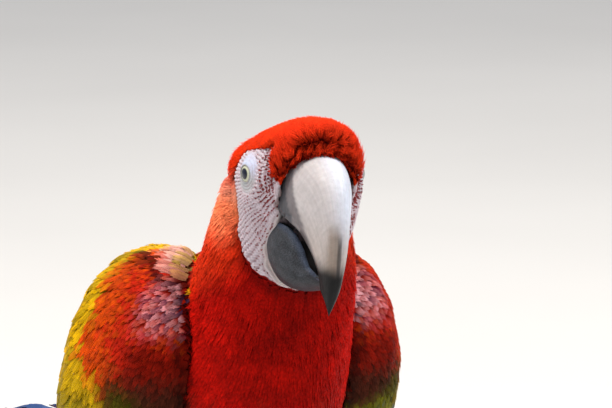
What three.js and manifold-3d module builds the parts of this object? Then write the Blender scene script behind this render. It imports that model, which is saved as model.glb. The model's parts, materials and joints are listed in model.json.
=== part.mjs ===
// A life-size scarlet macaw that stands on flat ground, leaning forward, bill a little open.
// Millimetres, +Z up. The bird faces -Y, so its left side is +X. The origin is on the ground,
// under the middle of the bird.
import * as THREE from "three";
import { mergeVertices } from "three/addons/utils/BufferGeometryUtils.js";
import Module from "manifold-3d";

const wasm = await Module();
wasm.setup();

// ---- Driving dimensions ----
const GAP = 0.45; // between neighbouring pieces
const FINEST = 0.1; // detail under this is smoothed away
const EYE_HEIGHT = 264; // ground to the eyes
const EYES_AHEAD = 112; // eyes in front of the hips
const HEAD_SIDE = 1.5; // the head is held this far to the bird's left
const HEAD_PITCH = 5; // degrees, bill down
const HEAD_YAW = -3; // degrees, towards the bird's right
const HEAD_ROLL = 3; // degrees, bill tip towards the bird's right
const GAPE = 14; // degrees that the lower bill is open
const SCOOP_WALL = 3.6; // lower bill, at its thickest
const SCOOP_REACH = 0.7; // how far the bill's inside passes its rim, as a share of the wall
const EYEBALL = { radius: 8, ahead: 1, up: 1, side: 20 };
const ORBIT = { radius: 10.5, depth: 1.8 }; // the shallow dish that an eye sits in
const LEG_SPACING = 31; // from the middle plane to each leg
const FOOT_AHEAD = 14; // middle of each foot
const TOE_OUT = 10; // degrees that each foot turns out
const TAIL_LENGTH = 455; // of the longest pair of tail feathers
const TAIL_BASE = { ahead: -118, up: 92 };
const TAIL_PAIRS = 6;

// ---- Materials ----
const finish = (color, roughness) =>
  new THREE.MeshStandardMaterial({ color, roughness, metalness: 0 });
const RED_PLUMAGE = finish(0xd01808, 0.75);
const COVERT_PLUMAGE = finish(0xe0a010, 0.7);
const FLIGHT_PLUMAGE = finish(0x1550b0, 0.5);
const TAIL_PLUMAGE = finish(0xb81408, 0.6);
const RUMP_PLUMAGE = finish(0x58a8e0, 0.7);
const PALE_HORN = finish(0xe6ddd0, 0.35);
const DARK_HORN = finish(0x2c2e33, 0.4);
const TONGUE_FLESH = finish(0x2a2424, 0.5);
const EYE_GLOSS = finish(0xe8e4b0, 0.08);
const LEG_SCALES = finish(0x4a4846, 0.7);

const radians = THREE.MathUtils.degToRad;

// ---- Points and ribs ----
// A point by how far ahead of the hips it is, how high, and how far to the bird's left.
const at = (ahead, up, side = 0) => new THREE.Vector3(side, -ahead, up);

// One cross-section of a form: its top and bottom points, how far its outline stands out on the
// left and on the right of the line between them, and how far up that line it is widest.
const rib = (top, bottom, left, right = left, waist = 0.5) => ({
  top,
  bottom,
  girth: new THREE.Vector3(left, right, waist),
});

// The end of a form, where its cross-section shrinks to a point.
const tip = (point) => rib(point, point, 0);

function signedVolume(geometry) {
  const p = geometry.attributes.position;
  const [a, b, c] = [0, 1, 2].map(() => new THREE.Vector3());
  let volume = 0;
  for (let i = 0; i < geometry.index.count; i += 3) {
    [a, b, c].forEach((v, k) => v.fromBufferAttribute(p, geometry.index.getX(i + k)));
    volume += a.dot(b.cross(c)) / 6;
  }
  return volume;
}

// A closed skin through ribs: a globe whose rows follow the ribs and whose columns go round them.
// squareness is 2 for oval cross-sections and more for boxy ones.
function loft(ribs, perRib, sides, squareness = 2) {
  const tops = new THREE.CatmullRomCurve3(ribs.map((r) => r.top));
  const bottoms = new THREE.CatmullRomCurve3(ribs.map((r) => r.bottom));
  const girths = new THREE.CatmullRomCurve3(ribs.map((r) => r.girth));
  const globe = new THREE.SphereGeometry(1, sides, perRib * (ribs.length - 1));
  const { position, uv } = globe.attributes;
  const bulge = (v) => Math.sign(v) * Math.abs(v) ** (2 / squareness);
  for (let i = 0; i < position.count; i++) {
    const angle = 2 * Math.PI * uv.getX(i);
    const t = 1 - uv.getY(i);
    const [top, bottom, girth] = [tops, bottoms, girths].map((c) => c.getPoint(t));
    const [left, right, waist] = girth.toArray();
    const rise = bulge(Math.cos(angle));
    const sway = bulge(Math.sin(angle));
    const height = waist + rise * (rise > 0 ? 1 - waist : waist);
    const point = bottom.clone().lerp(top, height);
    point.x += sway * (sway > 0 ? left : right);
    position.setXYZ(i, point.x, point.y, point.z);
  }
  globe.deleteAttribute("normal");
  globe.deleteAttribute("uv");
  const skin = mergeVertices(globe, 1e-3);
  if (signedVolume(skin) < 0) skin.index.array.reverse();
  return skin;
}

// The same skin pushed out all over, to cut a neighbour with a gap left between them.
function swell(skin, by = GAP) {
  const swollen = skin.clone();
  swollen.computeVertexNormals();
  const { position, normal } = swollen.attributes;
  for (let i = 0; i < position.count; i++) {
    position.setXYZ(
      i,
      position.getX(i) + by * normal.getX(i),
      position.getY(i) + by * normal.getY(i),
      position.getZ(i) + by * normal.getZ(i),
    );
  }
  swollen.deleteAttribute("normal");
  return swollen;
}

// ---- Solids ----
function solidOf(skin) {
  return new wasm.Manifold(
    new wasm.Mesh({
      numProp: 3,
      vertProperties: new Float32Array(skin.attributes.position.array),
      triVerts: new Uint32Array(skin.index.array),
    }),
  );
}

// The largest piece of a solid that a cut may have left in several.
function mainBody(solid) {
  return solid.decompose().reduce((a, b) => (a.volume() > b.volume() ? a : b));
}

// Cuts neighbours away, each swollen by the gap.
const carve = (solid, ...skins) =>
  mainBody(skins.reduce((left, skin) => left.subtract(solidOf(swell(skin))), solid));

// The same for a neighbour with sharp rims. Swelling can miss a sliver of a rim, so the plain
// shape is cut away too.
const carveSharp = (solid, skin) =>
  mainBody(solid.subtract(solidOf(swell(skin)).add(solidOf(skin)).simplify(FINEST)));

// Parts a solid at a plane through a point of the middle plane. The plane's normal is raised
// from straight ahead by lean degrees. Returns what is in front of it, then what is behind.
function part(solid, { ahead, up, lean }) {
  const normal = at(Math.cos(radians(lean)), Math.sin(radians(lean)));
  const offset = normal.dot(at(ahead, up));
  const front = solid.trimByPlane(normal.toArray(), offset + GAP / 2);
  const back = solid.trimByPlane(normal.negate().toArray(), GAP / 2 - offset);
  return [front, back].map(mainBody);
}

const joined = (skins) => wasm.Manifold.union(skins.map(solidOf));

const macaw = new THREE.Group();

function addMesh(name, solid, material) {
  const { vertProperties, triVerts } = solid.simplify(FINEST).getMesh();
  const geometry = new THREE.BufferGeometry();
  geometry.setAttribute("position", new THREE.BufferAttribute(vertProperties, 3));
  geometry.setIndex(new THREE.BufferAttribute(triVerts, 1));
  const mesh = new THREE.Mesh(geometry, material);
  mesh.name = name;
  macaw.add(mesh);
}

// The same piece on the bird's right and left. Shapes are modelled on the left.
function addPair(name, solid, material) {
  addMesh(`${name}_left`, solid, material);
  addMesh(`${name}_right`, solid.mirror([1, 0, 0]), material);
}

// ---- Head, in a frame of its own whose origin is midway between the eyes ----
const headPose = new THREE.Matrix4()
  .makeTranslation(at(EYES_AHEAD, EYE_HEIGHT, HEAD_SIDE))
  .multiply(
    new THREE.Matrix4().makeRotationFromEuler(
      new THREE.Euler(radians(HEAD_PITCH), radians(HEAD_ROLL), radians(HEAD_YAW), "ZYX"),
    ),
  );
const jawHinge = at(0, -20);
const jawPose = headPose
  .clone()
  .multiply(new THREE.Matrix4().makeTranslation(jawHinge))
  .multiply(new THREE.Matrix4().makeRotationX(radians(GAPE)))
  .multiply(new THREE.Matrix4().makeTranslation(jawHinge.clone().negate()));
const posed = (skin, pose) => skin.applyMatrix4(pose);

const headSkin = posed(
  loft(
    [
      tip(at(-45, -8)),
      rib(at(-41, 4), at(-40, -22), 14),
      rib(at(-27, 15.5), at(-27, -36), 23),
      rib(at(-8, 23), at(-12, -44), 27.5),
      rib(at(9, 29), at(3, -47), 26.5, 26.5, 0.56),
      rib(at(22, 30), at(12, -44), 24, 24, 0.66),
      rib(at(30.5, 22.5), at(16, -35), 19, 19, 0.68),
      tip(at(24, -6)),
    ],
    2,
    22,
    2.25,
  ),
  headPose,
);

// A rib of a hollow bill: it arches from the ridge to the cutting edges on both sides, and its
// inner side is drawn in from the edges towards the ridge by a share of its height.
function billRib(ridge, edge, half, hollow) {
  const inner = edge.clone().lerp(ridge, hollow);
  const waist = -hollow / (1 - hollow);
  return { top: ridge, bottom: inner, girth: new THREE.Vector3(half, half, waist) };
}

const upperBillSkin = posed(
  loft(
    [
      tip(at(12, 3)),
      billRib(at(21, 15), at(19, -10), 16, 0.2),
      billRib(at(36, 13.5), at(28, -13.5), 14, 0.2),
      billRib(at(49, 7), at(37, -17), 10.5, 0.22),
      billRib(at(58, -6), at(44, -23.5), 7.5, 0.24),
      billRib(at(61.5, -20), at(49, -30), 5.6, 0.2),
      billRib(at(60, -34), at(51.5, -39), 4, 0.1),
      tip(at(53, -50)),
    ],
    2,
    16,
    2.5,
  ),
  headPose,
);

// The lower bill is a scoop: an oval form with its inside taken out up to a sharp rim.
const scoopRibs = (inset) => {
  const lift = SCOOP_REACH * inset;
  return [
    tip(at(4 + inset, -20 + inset)),
    rib(at(20, -6 + lift), at(1, -34 + inset), 16.5 - inset, 16.5 - inset, 0.45),
    rib(at(27.5, -10 + lift), at(10, -40.5 + inset), 17.5 - inset, 17.5 - inset, 0.45),
    rib(at(33.5, -16.5 + lift), at(20, -43 + inset), 15.5 - inset, 15.5 - inset, 0.45),
    rib(at(38.5, -22 + lift), at(29, -40.5 + inset), 12 - inset, 12 - inset, 0.45),
    rib(at(41.5, -24 + lift), at(37, -34.5 + inset), 8 - inset / 2, 8 - inset / 2, 0.45),
    tip(at(43, -28.5 + inset / 2)),
  ];
};
const lowerBillSkin = posed(loft(scoopRibs(0), 2, 14), jawPose);
const scoopSkin = posed(loft(scoopRibs(SCOOP_WALL), 2, 14), jawPose);

const tongueSkin = posed(
  loft(
    [
      tip(at(8, -24)),
      rib(at(13, -19), at(13, -35), 8),
      rib(at(22, -21), at(23, -37), 7.5),
      rib(at(29, -25), at(30, -38), 6),
      tip(at(33, -32)),
    ],
    2,
    10,
  ),
  jawPose,
);

function eyeSkin(side, radii) {
  const ball = new THREE.SphereGeometry(1, 12, 8).scale(...radii);
  ball.deleteAttribute("normal");
  ball.deleteAttribute("uv");
  ball.translate(...at(EYEBALL.ahead, EYEBALL.up, side).toArray());
  return posed(mergeVertices(ball, 1e-3), headPose);
}

const eyeSkins = [1, -1].map((hand) =>
  eyeSkin(hand * EYEBALL.side, [EYEBALL.radius, EYEBALL.radius, EYEBALL.radius]),
);
// Each orbit is a flat dish centred on the face's surface.
const orbitSkins = [1, -1].map((hand) =>
  eyeSkin(hand * (EYEBALL.side + EYEBALL.radius), [ORBIT.depth, ORBIT.radius, ORBIT.radius]),
);

// ---- Neck and trunk: one form from the tail's root to the throat, parted by a thin cut ----
const bodySkin = loft(
  [
    tip(at(-132, 92)),
    rib(at(-118, 124), at(-124, 70), 23),
    rib(at(-84, 162), at(-92, 60), 38),
    rib(at(-42, 195), at(-34, 62), 47, 47, 0.48),
    rib(at(0, 212), at(28, 76), 48),
    rib(at(28, 222), at(72, 108), 43.5),
    rib(at(46, 231), at(99, 148), 38),
    rib(at(58, 240), at(110, 184), 37.5),
    rib(at(65, 255), at(115, 208), 34.5),
    rib(at(74, 271), at(119, 228), 28),
    tip(at(98, 260)),
  ],
  2,
  20,
);
const NECK_CUT = { ahead: 78, up: 205, lean: 58 };

// ---- Wings, held a little away from the body, tips crossing above the tail's root ----
const wingSkin = loft(
  [
    tip(at(77, 182, 40)),
    rib(at(66, 212, 36), at(68, 150, 42), 23, 12),
    rib(at(45, 222, 29), at(48, 128, 47), 35.5, 14, 0.54),
    rib(at(14, 218.5, 31), at(18, 110, 53), 39, 13, 0.56),
    rib(at(-28, 209, 25), at(-22, 95, 53), 28.5, 6),
    rib(at(-76, 171, 18), at(-70, 85, 45), 15, 0),
    rib(at(-134, 130, 10), at(-128, 80, 36), 9, -4),
    rib(at(-202, 101, 7), at(-200, 75, 30), 6, -3),
    rib(at(-270, 82, 8), at(-266, 70, 23), 4, -2),
    tip(at(-325, 68, 13)),
  ],
  2,
  14,
  2.3,
);
// The coverts end and the flight feathers begin along a line that slants down the wing.
const COVERT_EDGE = { ahead: -70, up: 130, lean: 28 };

// ---- Tail: pairs of long feathers, the middle pair longest and on top ----
const tailTip = at(TAIL_BASE.ahead - TAIL_LENGTH, -3.2);
const tailRoot = at(TAIL_BASE.ahead + 22, TAIL_BASE.up + 4);

// One tail feather as a thin plate. Pair 0 is the middle pair.
function tailFeather(pair, hand) {
  const length = 1 - 0.62 * (pair / (TAIL_PAIRS - 1)) ** 0.8;
  const sink = 1.8 * pair;
  const along = (share) => {
    const point = tailRoot.clone().lerp(tailTip, share * length);
    point.x = hand * (5 + pair * 2.2 + share * pair * 1.6);
    point.z -= sink * (1 - share * length) - 4 * Math.sin(Math.PI * share * length);
    return point;
  };
  const plate = (share, half, thick) =>
    rib(
      along(share).add(at(0, thick / 2)),
      along(share).add(at(0, -thick / 2)),
      half,
    );
  return loft(
    [
      tip(along(0)),
      plate(0.06, 7, 3.6),
      plate(0.25, 12, 3.8),
      plate(0.5, 13, 3.6),
      plate(0.75, 12, 3.2),
      plate(0.9, 8, 2.8),
      tip(along(1)),
    ],
    1,
    4,
  );
}

const tailSkins = [];
for (let pair = 0; pair < TAIL_PAIRS; pair++) {
  for (const hand of [1, -1]) tailSkins.push(tailFeather(pair, hand));
}

// The soft feathers above and below the tail's root.
const tailCovertSkin = loft(
  [
    tip(at(-92, 98)),
    rib(at(-104, 128), at(-106, 74), 24),
    rib(at(-140, 112), at(-146, 66), 26),
    rib(at(-185, 95), at(-190, 63), 21),
    rib(at(-225, 80), at(-225, 61), 13),
    tip(at(-250, 68)),
  ],
  2,
  14,
);

// ---- Legs and feet, modelled for the left side ----
const hipSide = LEG_SPACING;
const thighSkin = loft(
  [
    tip(at(14, 118, hipSide)),
    rib(at(14, 108, hipSide), at(-8, 106, hipSide), 17),
    rib(at(18, 84, hipSide + 2), at(-22, 84, hipSide + 2), 19, 17),
    rib(at(12, 62, hipSide + 1), at(-20, 62, hipSide + 1), 14),
    rib(at(2, 48, hipSide), at(-16, 48, hipSide), 9),
    tip(at(-6, 42, hipSide)),
  ],
  2,
  10,
);

const tarsusSkin = loft(
  [
    tip(at(-6, 58, hipSide)),
    rib(at(0, 54, hipSide), at(-11, 54, hipSide), 5.5),
    rib(at(3, 36, hipSide), at(-8, 36, hipSide), 5.2),
    rib(at(FOOT_AHEAD + 1, 16, hipSide), at(FOOT_AHEAD - 15, 14, hipSide), 7),
    rib(at(FOOT_AHEAD + 8, 6, hipSide), at(FOOT_AHEAD - 12, 2, hipSide), 8.5),
    tip(at(FOOT_AHEAD, -3, hipSide)),
  ],
  2,
  8,
);

// Toes by heading (degrees outward from straight ahead), length without the claw, thickness, and
// how many pads they have underneath.
const TOES = [
  { name: "inner_front", heading: -20, length: 33, thick: 9, pads: 2 },
  { name: "outer_front", heading: 16, length: 47, thick: 10, pads: 3 },
  { name: "outer_rear", heading: 152, length: 42, thick: 9.5, pads: 3 },
  { name: "inner_rear", heading: -152, length: 25, thick: 8.5, pads: 2 },
];
const CLAW = { length: 17, thick: 5.4 };

const toePose = ({ heading }) =>
  new THREE.Matrix4()
    .makeTranslation(at(FOOT_AHEAD, 0, hipSide))
    .multiply(new THREE.Matrix4().makeRotationZ(radians(TOE_OUT + heading)));

// A toe lies along the ground with a swollen pad under each joint.
function toeSkin(toe) {
  const start = 4;
  const ribs = [tip(at(start, toe.thick * 0.45))];
  for (let i = 0; i <= 2 * toe.pads; i++) {
    const share = i / (2 * toe.pads);
    const pad = i % 2 ? 1 : 0.86;
    const thick = toe.thick * (1 - 0.22 * share) * pad;
    const ahead = start + 1.5 + (toe.length - start - 1.5) * share;
    ribs.push(rib(at(ahead, thick - 0.6), at(ahead, -0.6), thick / 2));
  }
  ribs.push(tip(at(toe.length + 2.5, toe.thick * 0.36)));
  return posed(loft(ribs, 1, 6, 2.3), toePose(toe));
}

function clawSkin(toe) {
  const root = toe.length - 3;
  const height = toe.thick * 0.42;
  const arch = (share) => {
    const angle = share * radians(105);
    const reach = CLAW.length * 0.62;
    const drop = reach * (1 - Math.cos(angle)) * 0.46;
    return at(root + reach * Math.sin(angle) * 1.15, height + 3.2 - drop);
  };
  const ring = (share, thick) =>
    rib(arch(share).add(at(0, thick / 2)), arch(share).add(at(0, -thick / 2)), thick * 0.4);
  const ribs = [
    tip(arch(0)),
    ring(0.1, CLAW.thick),
    ring(0.4, CLAW.thick * 0.85),
    ring(0.7, CLAW.thick * 0.6),
    tip(arch(1)),
  ];
  return posed(loft(ribs, 1, 6), toePose(toe));
}

const toeSkins = TOES.map(toeSkin);
const clawSkins = TOES.map(clawSkin);
const aboveGround = (solid) => mainBody(solid.trimByPlane([0, 0, 1], 0));

// ---- Assembly ----
const eyelessHead = carve(solidOf(headSkin), ...eyeSkins, ...orbitSkins);
addMesh("head", carveSharp(eyelessHead, upperBillSkin), RED_PLUMAGE);
addMesh("upper_bill", solidOf(upperBillSkin), PALE_HORN);
const lowerBill = mainBody(solidOf(lowerBillSkin).subtract(solidOf(scoopSkin)));
addMesh("lower_bill", carveSharp(carve(lowerBill, headSkin), upperBillSkin), DARK_HORN);
const tongue = solidOf(tongueSkin).intersect(solidOf(scoopSkin));
addMesh("tongue", carveSharp(carve(tongue, headSkin), upperBillSkin), TONGUE_FLESH);
["left", "right"].forEach((hand, i) => {
  addMesh(`eye_${hand}`, solidOf(eyeSkins[i]), EYE_GLOSS);
});

const [neck, trunk] = part(carve(solidOf(bodySkin), headSkin, lowerBillSkin), NECK_CUT);
addMesh("neck", neck, RED_PLUMAGE);
addMesh("trunk", carve(trunk, tailCovertSkin), RED_PLUMAGE);

const wing = carve(solidOf(wingSkin), bodySkin, tailCovertSkin, ...tailSkins);
const [coverts, flights] = part(wing, COVERT_EDGE);
addPair("wing_coverts", coverts, COVERT_PLUMAGE);
addPair("wing_flights", flights, FLIGHT_PLUMAGE);

addMesh("tail_coverts", solidOf(tailCovertSkin), RUMP_PLUMAGE);
addMesh("tail", aboveGround(carve(joined(tailSkins), tailCovertSkin, bodySkin)), TAIL_PLUMAGE);

addPair("thigh", carve(solidOf(thighSkin), bodySkin, tarsusSkin), RED_PLUMAGE);
addPair("foot", aboveGround(carve(solidOf(tarsusSkin), bodySkin)), LEG_SCALES);
TOES.forEach((toe, i) => {
  const others = toeSkins.slice(0, i);
  addPair(
    `toe_${toe.name}`,
    aboveGround(carve(solidOf(toeSkins[i]), tarsusSkin, clawSkins[i], ...others)),
    LEG_SCALES,
  );
  addPair(`claw_${toe.name}`, aboveGround(solidOf(clawSkins[i])), DARK_HORN);
});

// ---- Origin: on the ground, in the middle of the bird's length and width ----
const extent = new THREE.Box3().setFromObject(macaw);
const middle = extent.getCenter(new THREE.Vector3());
macaw.position.set(-middle.x, -middle.y, -extent.min.z);

export default macaw;
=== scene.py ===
"""A standing scarlet macaw: skin, feathers, bill, eyes and feet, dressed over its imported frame."""

import json
import math

import bmesh
import bpy
import numpy as np
from bpy.props import FloatProperty, FloatVectorProperty, PointerProperty
from mathutils import Euler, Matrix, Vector
from mathutils.bvhtree import BVHTree

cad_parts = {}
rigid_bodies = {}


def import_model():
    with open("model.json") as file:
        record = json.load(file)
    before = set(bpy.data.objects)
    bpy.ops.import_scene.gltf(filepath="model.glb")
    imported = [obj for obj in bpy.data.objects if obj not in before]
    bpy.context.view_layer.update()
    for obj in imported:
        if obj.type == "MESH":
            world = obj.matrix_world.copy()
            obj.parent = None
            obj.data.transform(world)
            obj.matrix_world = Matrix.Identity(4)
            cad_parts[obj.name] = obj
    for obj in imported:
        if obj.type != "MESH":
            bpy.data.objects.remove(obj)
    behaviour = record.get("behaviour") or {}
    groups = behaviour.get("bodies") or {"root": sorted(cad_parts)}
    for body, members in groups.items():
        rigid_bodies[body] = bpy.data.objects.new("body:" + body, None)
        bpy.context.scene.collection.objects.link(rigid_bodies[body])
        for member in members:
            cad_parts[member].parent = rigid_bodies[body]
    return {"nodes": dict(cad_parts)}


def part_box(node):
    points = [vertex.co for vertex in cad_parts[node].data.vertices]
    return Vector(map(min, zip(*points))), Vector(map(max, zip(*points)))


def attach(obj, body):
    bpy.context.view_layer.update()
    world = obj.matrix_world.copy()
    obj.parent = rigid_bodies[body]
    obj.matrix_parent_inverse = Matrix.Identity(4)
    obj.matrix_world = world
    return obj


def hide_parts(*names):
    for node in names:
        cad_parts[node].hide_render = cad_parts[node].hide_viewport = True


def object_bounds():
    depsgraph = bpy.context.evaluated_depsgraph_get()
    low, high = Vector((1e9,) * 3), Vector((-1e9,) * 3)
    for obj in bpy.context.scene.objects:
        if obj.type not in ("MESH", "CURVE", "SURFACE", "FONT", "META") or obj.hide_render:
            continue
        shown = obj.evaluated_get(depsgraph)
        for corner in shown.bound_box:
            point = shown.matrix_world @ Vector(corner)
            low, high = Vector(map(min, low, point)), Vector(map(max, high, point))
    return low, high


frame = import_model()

bl_info = {
    "name": "Scarlet macaw",
    "version": (1, 0, 0),
    "blender": (4, 5, 0),
    "location": "3D View > Sidebar > Macaw",
    "description": "Builds the skin, plumage, bill, eyes and stage of a standing scarlet macaw",
    "category": "Add Mesh",
}

CAD_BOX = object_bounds()
NODES = frame["nodes"]
HANDS = {"left": 1, "right": -1}
WINGS = [f"wing_coverts_{hand}" for hand in HANDS]
THIGHS = [f"thigh_{hand}" for hand in HANDS]
FLESH = ["head", "neck", "trunk", "tail_coverts", *WINGS, *THIGHS]
TOES = {  # heading in degrees outward from straight ahead, length without the claw, thickness
    "inner_front": (-20, 33, 9),
    "outer_front": (16, 47, 10),
    "outer_rear": (152, 42, 9.5),
    "inner_rear": (-152, 25, 8.5),
}
FEET = {hand: [f"foot_{hand}"] + [f"toe_{toe}_{hand}" for toe in TOES] for hand in HANDS}
MADE = {}  # what the operators share: materials, the skin's surface and the solids' surfaces


# ---- Places. Lengths are in millimetres from the point on the floor under the hips ----
def at(ahead, up, side=0.0):
    """A point by how far ahead of the hips it is, how high, and how far to the bird's left."""
    return np.array([side, -ahead, up], float)


def turn(pitch, roll, yaw):
    """The rotation matrix of a part that is pitched, rolled and yawed, in degrees."""
    angles = [math.radians(a) for a in (pitch, roll, yaw)]
    return np.array(Euler(angles, "XYZ").to_matrix())


HEAD_CENTRE = at(112, 264, 1.5)
HEAD_TURN = turn(5, 3, -3)
JAW_HINGE = at(0, -20)
JAW_TURN = turn(14, 0, 0)
EYE_AHEAD, EYE_UP, EYE_OUT = 1, 1, 20  # the left eye's centre in the head's own frame
EYE_CENTRE = at(EYE_AHEAD, EYE_UP)


def from_head(points):
    """Points of the head's own frame, whose origin is near the eyes' middle, in the bird's."""
    return np.asarray(points) @ HEAD_TURN.T + HEAD_CENTRE


def to_head(points):
    """Points of the bird's frame in the head's own frame."""
    return (np.asarray(points) - HEAD_CENTRE) @ HEAD_TURN


def from_jaw(points):
    """Points of the closed lower bill in the bird's frame, with the bill open."""
    return from_head((np.asarray(points) - JAW_HINGE) @ JAW_TURN.T + JAW_HINGE)


def find_hips():
    """The hips' floor point in the frame, in millimetres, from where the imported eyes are."""
    eyes = [sum(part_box(f"eye_{hand}"), Vector()) / 2 for hand in HANDS]
    middle = np.array((eyes[0] + eyes[1]) / 2) * 1000
    return middle - from_head(EYE_CENTRE)


HIPS = find_hips()


def to_frame(points):
    """Millimetres from the hips into the frame's metres."""
    return (np.asarray(points) + HIPS) / 1000


def from_frame(points):
    """The frame's metres into millimetres from the hips."""
    return np.asarray(points) * 1000 - HIPS


def spread(points):
    """How far ahead, how high and how far out to either side points are."""
    return -points[:, 1], points[:, 2], np.abs(points[:, 0])


# ---- Small sums ----
def unit(vectors):
    """The same vectors with length one."""
    size = np.linalg.norm(vectors, axis=-1, keepdims=True)
    return vectors / np.maximum(size, 1e-9)


def dot(a, b):
    """Row by row dot product, as a column."""
    return (a * b).sum(-1, keepdims=True)


def ease(low, high, value):
    """A smooth step from 0 at low to 1 at high."""
    share = np.clip((value - low) / (high - low), 0, 1)
    return share * share * (3 - 2 * share)


def blend(first, second, share):
    """A mix of two rows of values, with one share per row."""
    share = np.asarray(share, float)[..., None]
    return np.asarray(first) * (1 - share) + np.asarray(second) * share


def overlay(colour, *coats):
    """A colour with others laid over it in turn, each with its share at every point."""
    for coat, share in coats:
        colour = blend(colour, coat, share)
    return colour


def repeated(values, count):
    """The same values once for each of a number of points or feathers."""
    return np.tile(values, (count, 1))


def wobble(points, scale, seed=0, waves=6):
    """Smooth noise from about -1 to 1 made of crossed waves."""
    rng = np.random.default_rng(seed)
    total = 0
    for _ in range(waves):
        direction = unit(rng.normal(size=3)) * rng.uniform(0.6, 1.6) * math.tau / scale
        total = total + np.sin(points @ direction + rng.uniform(0, math.tau))
    return total / waves * 1.5


# ---- Lofted forms, from the same ribs as the solids ----
def curve(points, shares):
    """A centripetal Catmull-Rom curve through points, at shares from 0 to 1 of its spans."""
    points = np.asarray(points, float)
    padded = np.vstack([2 * points[0] - points[1], points, 2 * points[-1] - points[-2]])
    place = np.clip(np.asarray(shares), 0, 1) * (len(points) - 1)
    span = np.minimum(place.astype(int), len(points) - 2)
    share = (place - span)[:, None]
    a, b, c, d = (padded[span + k] for k in range(4))

    def gap(start, end):
        """How far apart two rib ends count as being."""
        return np.linalg.norm(end - start, axis=1, keepdims=True) ** 0.5

    middle = np.where(gap(b, c) < 1e-4, 1, gap(b, c))
    before = np.where(gap(a, b) < 1e-4, middle, gap(a, b))
    after = np.where(gap(c, d) < 1e-4, middle, gap(c, d))
    leave = ((b - a) / before - (c - a) / (before + middle) + (c - b) / middle) * middle
    reach = ((c - b) / middle - (d - b) / (middle + after) + (d - c) / after) * middle
    cubic = 2 * b - 2 * c + leave + reach
    square = -3 * b + 3 * c - 2 * leave - reach
    return b + leave * share + square * share**2 + cubic * share**3


def rib(top, bottom, half, waist=0.5):
    """One cross-section of a form: its top and bottom, half its width, and how high that is."""
    return top, bottom, (half, half, waist)


def tip(point):
    """The end of a form, where its cross-section shrinks to a point."""
    return rib(point, point, 0)


def loft(ribs, rows, sides, squareness=2.0):
    """Rows of rings of points through the ribs."""
    shares = np.linspace(0, 1, rows + 1)
    tops, bottoms, girths = (curve([r[k] for r in ribs], shares)[:, None] for k in range(3))
    angle = np.linspace(0, math.tau, sides, endpoint=False)[None, :]

    def bulge(value):
        """A sine or cosine squared up."""
        return np.sign(value) * np.abs(value) ** (2 / squareness)

    rise, sway = bulge(np.cos(angle)), bulge(np.sin(angle))
    half, waist = girths[..., 0], girths[..., 2]
    height = waist + rise * np.where(rise > 0, 1 - waist, waist)
    grid = bottoms + (tops - bottoms) * height[..., None]
    grid[..., 0] += sway * half
    return grid


def closed_faces(rows, sides):
    """Faces of a loft whose first and last rings are single points, and the points to keep."""
    ring = np.arange(sides)
    onward = (ring + 1) % sides
    faces = [(0, 1 + j, 1 + onward[j]) for j in ring]
    for i in range(rows - 2):
        low, high = 1 + i * sides, 1 + (i + 1) * sides
        faces += [(low + j, high + j, high + onward[j], low + onward[j]) for j in ring]
    last, end = 1 + (rows - 2) * sides, 1 + (rows - 1) * sides
    faces += [(last + j, end, last + onward[j]) for j in ring]
    return faces


def solid_of(grid):
    """Points and faces of a closed loft."""
    rows, sides = grid.shape[0] - 1, grid.shape[1]
    points = np.vstack([grid[0, :1], grid[1:-1].reshape(-1, 3), grid[-1, :1]])
    return points, closed_faces(rows, sides)


# ---- Meshes ----
def mesh_from(name, points, faces):
    """A mesh from points in millimetres and faces, with its outside facing out."""
    mesh = bpy.data.meshes.new(name)
    mesh.from_pydata(to_frame(points).tolist(), [], [tuple(map(int, f)) for f in faces])
    work = bmesh.new()
    work.from_mesh(mesh)
    bmesh.ops.recalc_face_normals(work, faces=work.faces)
    work.to_mesh(mesh)
    work.free()
    mesh.shade_smooth()
    return mesh


def quad_mesh(name, points, quads):
    """A mesh of many quads, made in one go."""
    mesh = bpy.data.meshes.new(name)
    mesh.vertices.add(len(points))
    mesh.vertices.foreach_set("co", to_frame(points).astype(np.float32).ravel())
    mesh.loops.add(quads.size)
    mesh.loops.foreach_set("vertex_index", quads.astype(np.int32).ravel())
    mesh.polygons.add(len(quads))
    mesh.polygons.foreach_set("loop_start", np.arange(0, quads.size, 4, dtype=np.int32))
    mesh.update(calc_edges=True)
    mesh.shade_smooth()
    return mesh


def read(items, name, kind, width):
    """One value of every item of a mesh's list, as rows of a given width."""
    flat = np.empty(len(items) * width, kind)
    items.foreach_get(name, flat)
    return flat.reshape(-1, width) if width > 1 else flat


def points_of(mesh):
    """A mesh's points, in millimetres from the hips."""
    return from_frame(read(mesh.vertices, "co", np.float32, 3).astype(float))


def normals_of(mesh):
    """A mesh's point normals."""
    return read(mesh.vertices, "normal", np.float32, 3).astype(float)


def edges_of(mesh):
    """A mesh's edges as pairs of point numbers."""
    return read(mesh.edges, "vertices", np.int32, 2)


def corners_of(mesh):
    """The point number at each corner of a mesh's faces."""
    return read(mesh.loops, "vertex_index", np.int32, 1)


def move_to(mesh, points):
    """Puts a mesh's points at new places, given in millimetres."""
    mesh.vertices.foreach_set("co", to_frame(points).astype(np.float32).ravel())
    mesh.update()


def tint_points(mesh, colours):
    """Stores one colour for each point."""
    layer = mesh.color_attributes.new("Tint", "FLOAT_COLOR", "POINT")
    rgba = np.ones((len(colours), 4), np.float32)
    rgba[:, :3] = np.clip(colours, 0, 1)
    layer.data.foreach_set("color", rgba.ravel())


def map_corners(mesh, name, places):
    """Stores a UV map, given one place for each point."""
    layer = mesh.uv_layers.new(name=name)
    layer.data.foreach_set("uv", places[corners_of(mesh)].astype(np.float32).ravel())


def new_object(name, data):
    """An object in the scene that shows a mesh, a light or a camera."""
    made = bpy.data.objects.new(name, data)
    bpy.context.scene.collection.objects.link(made)
    return made


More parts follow.
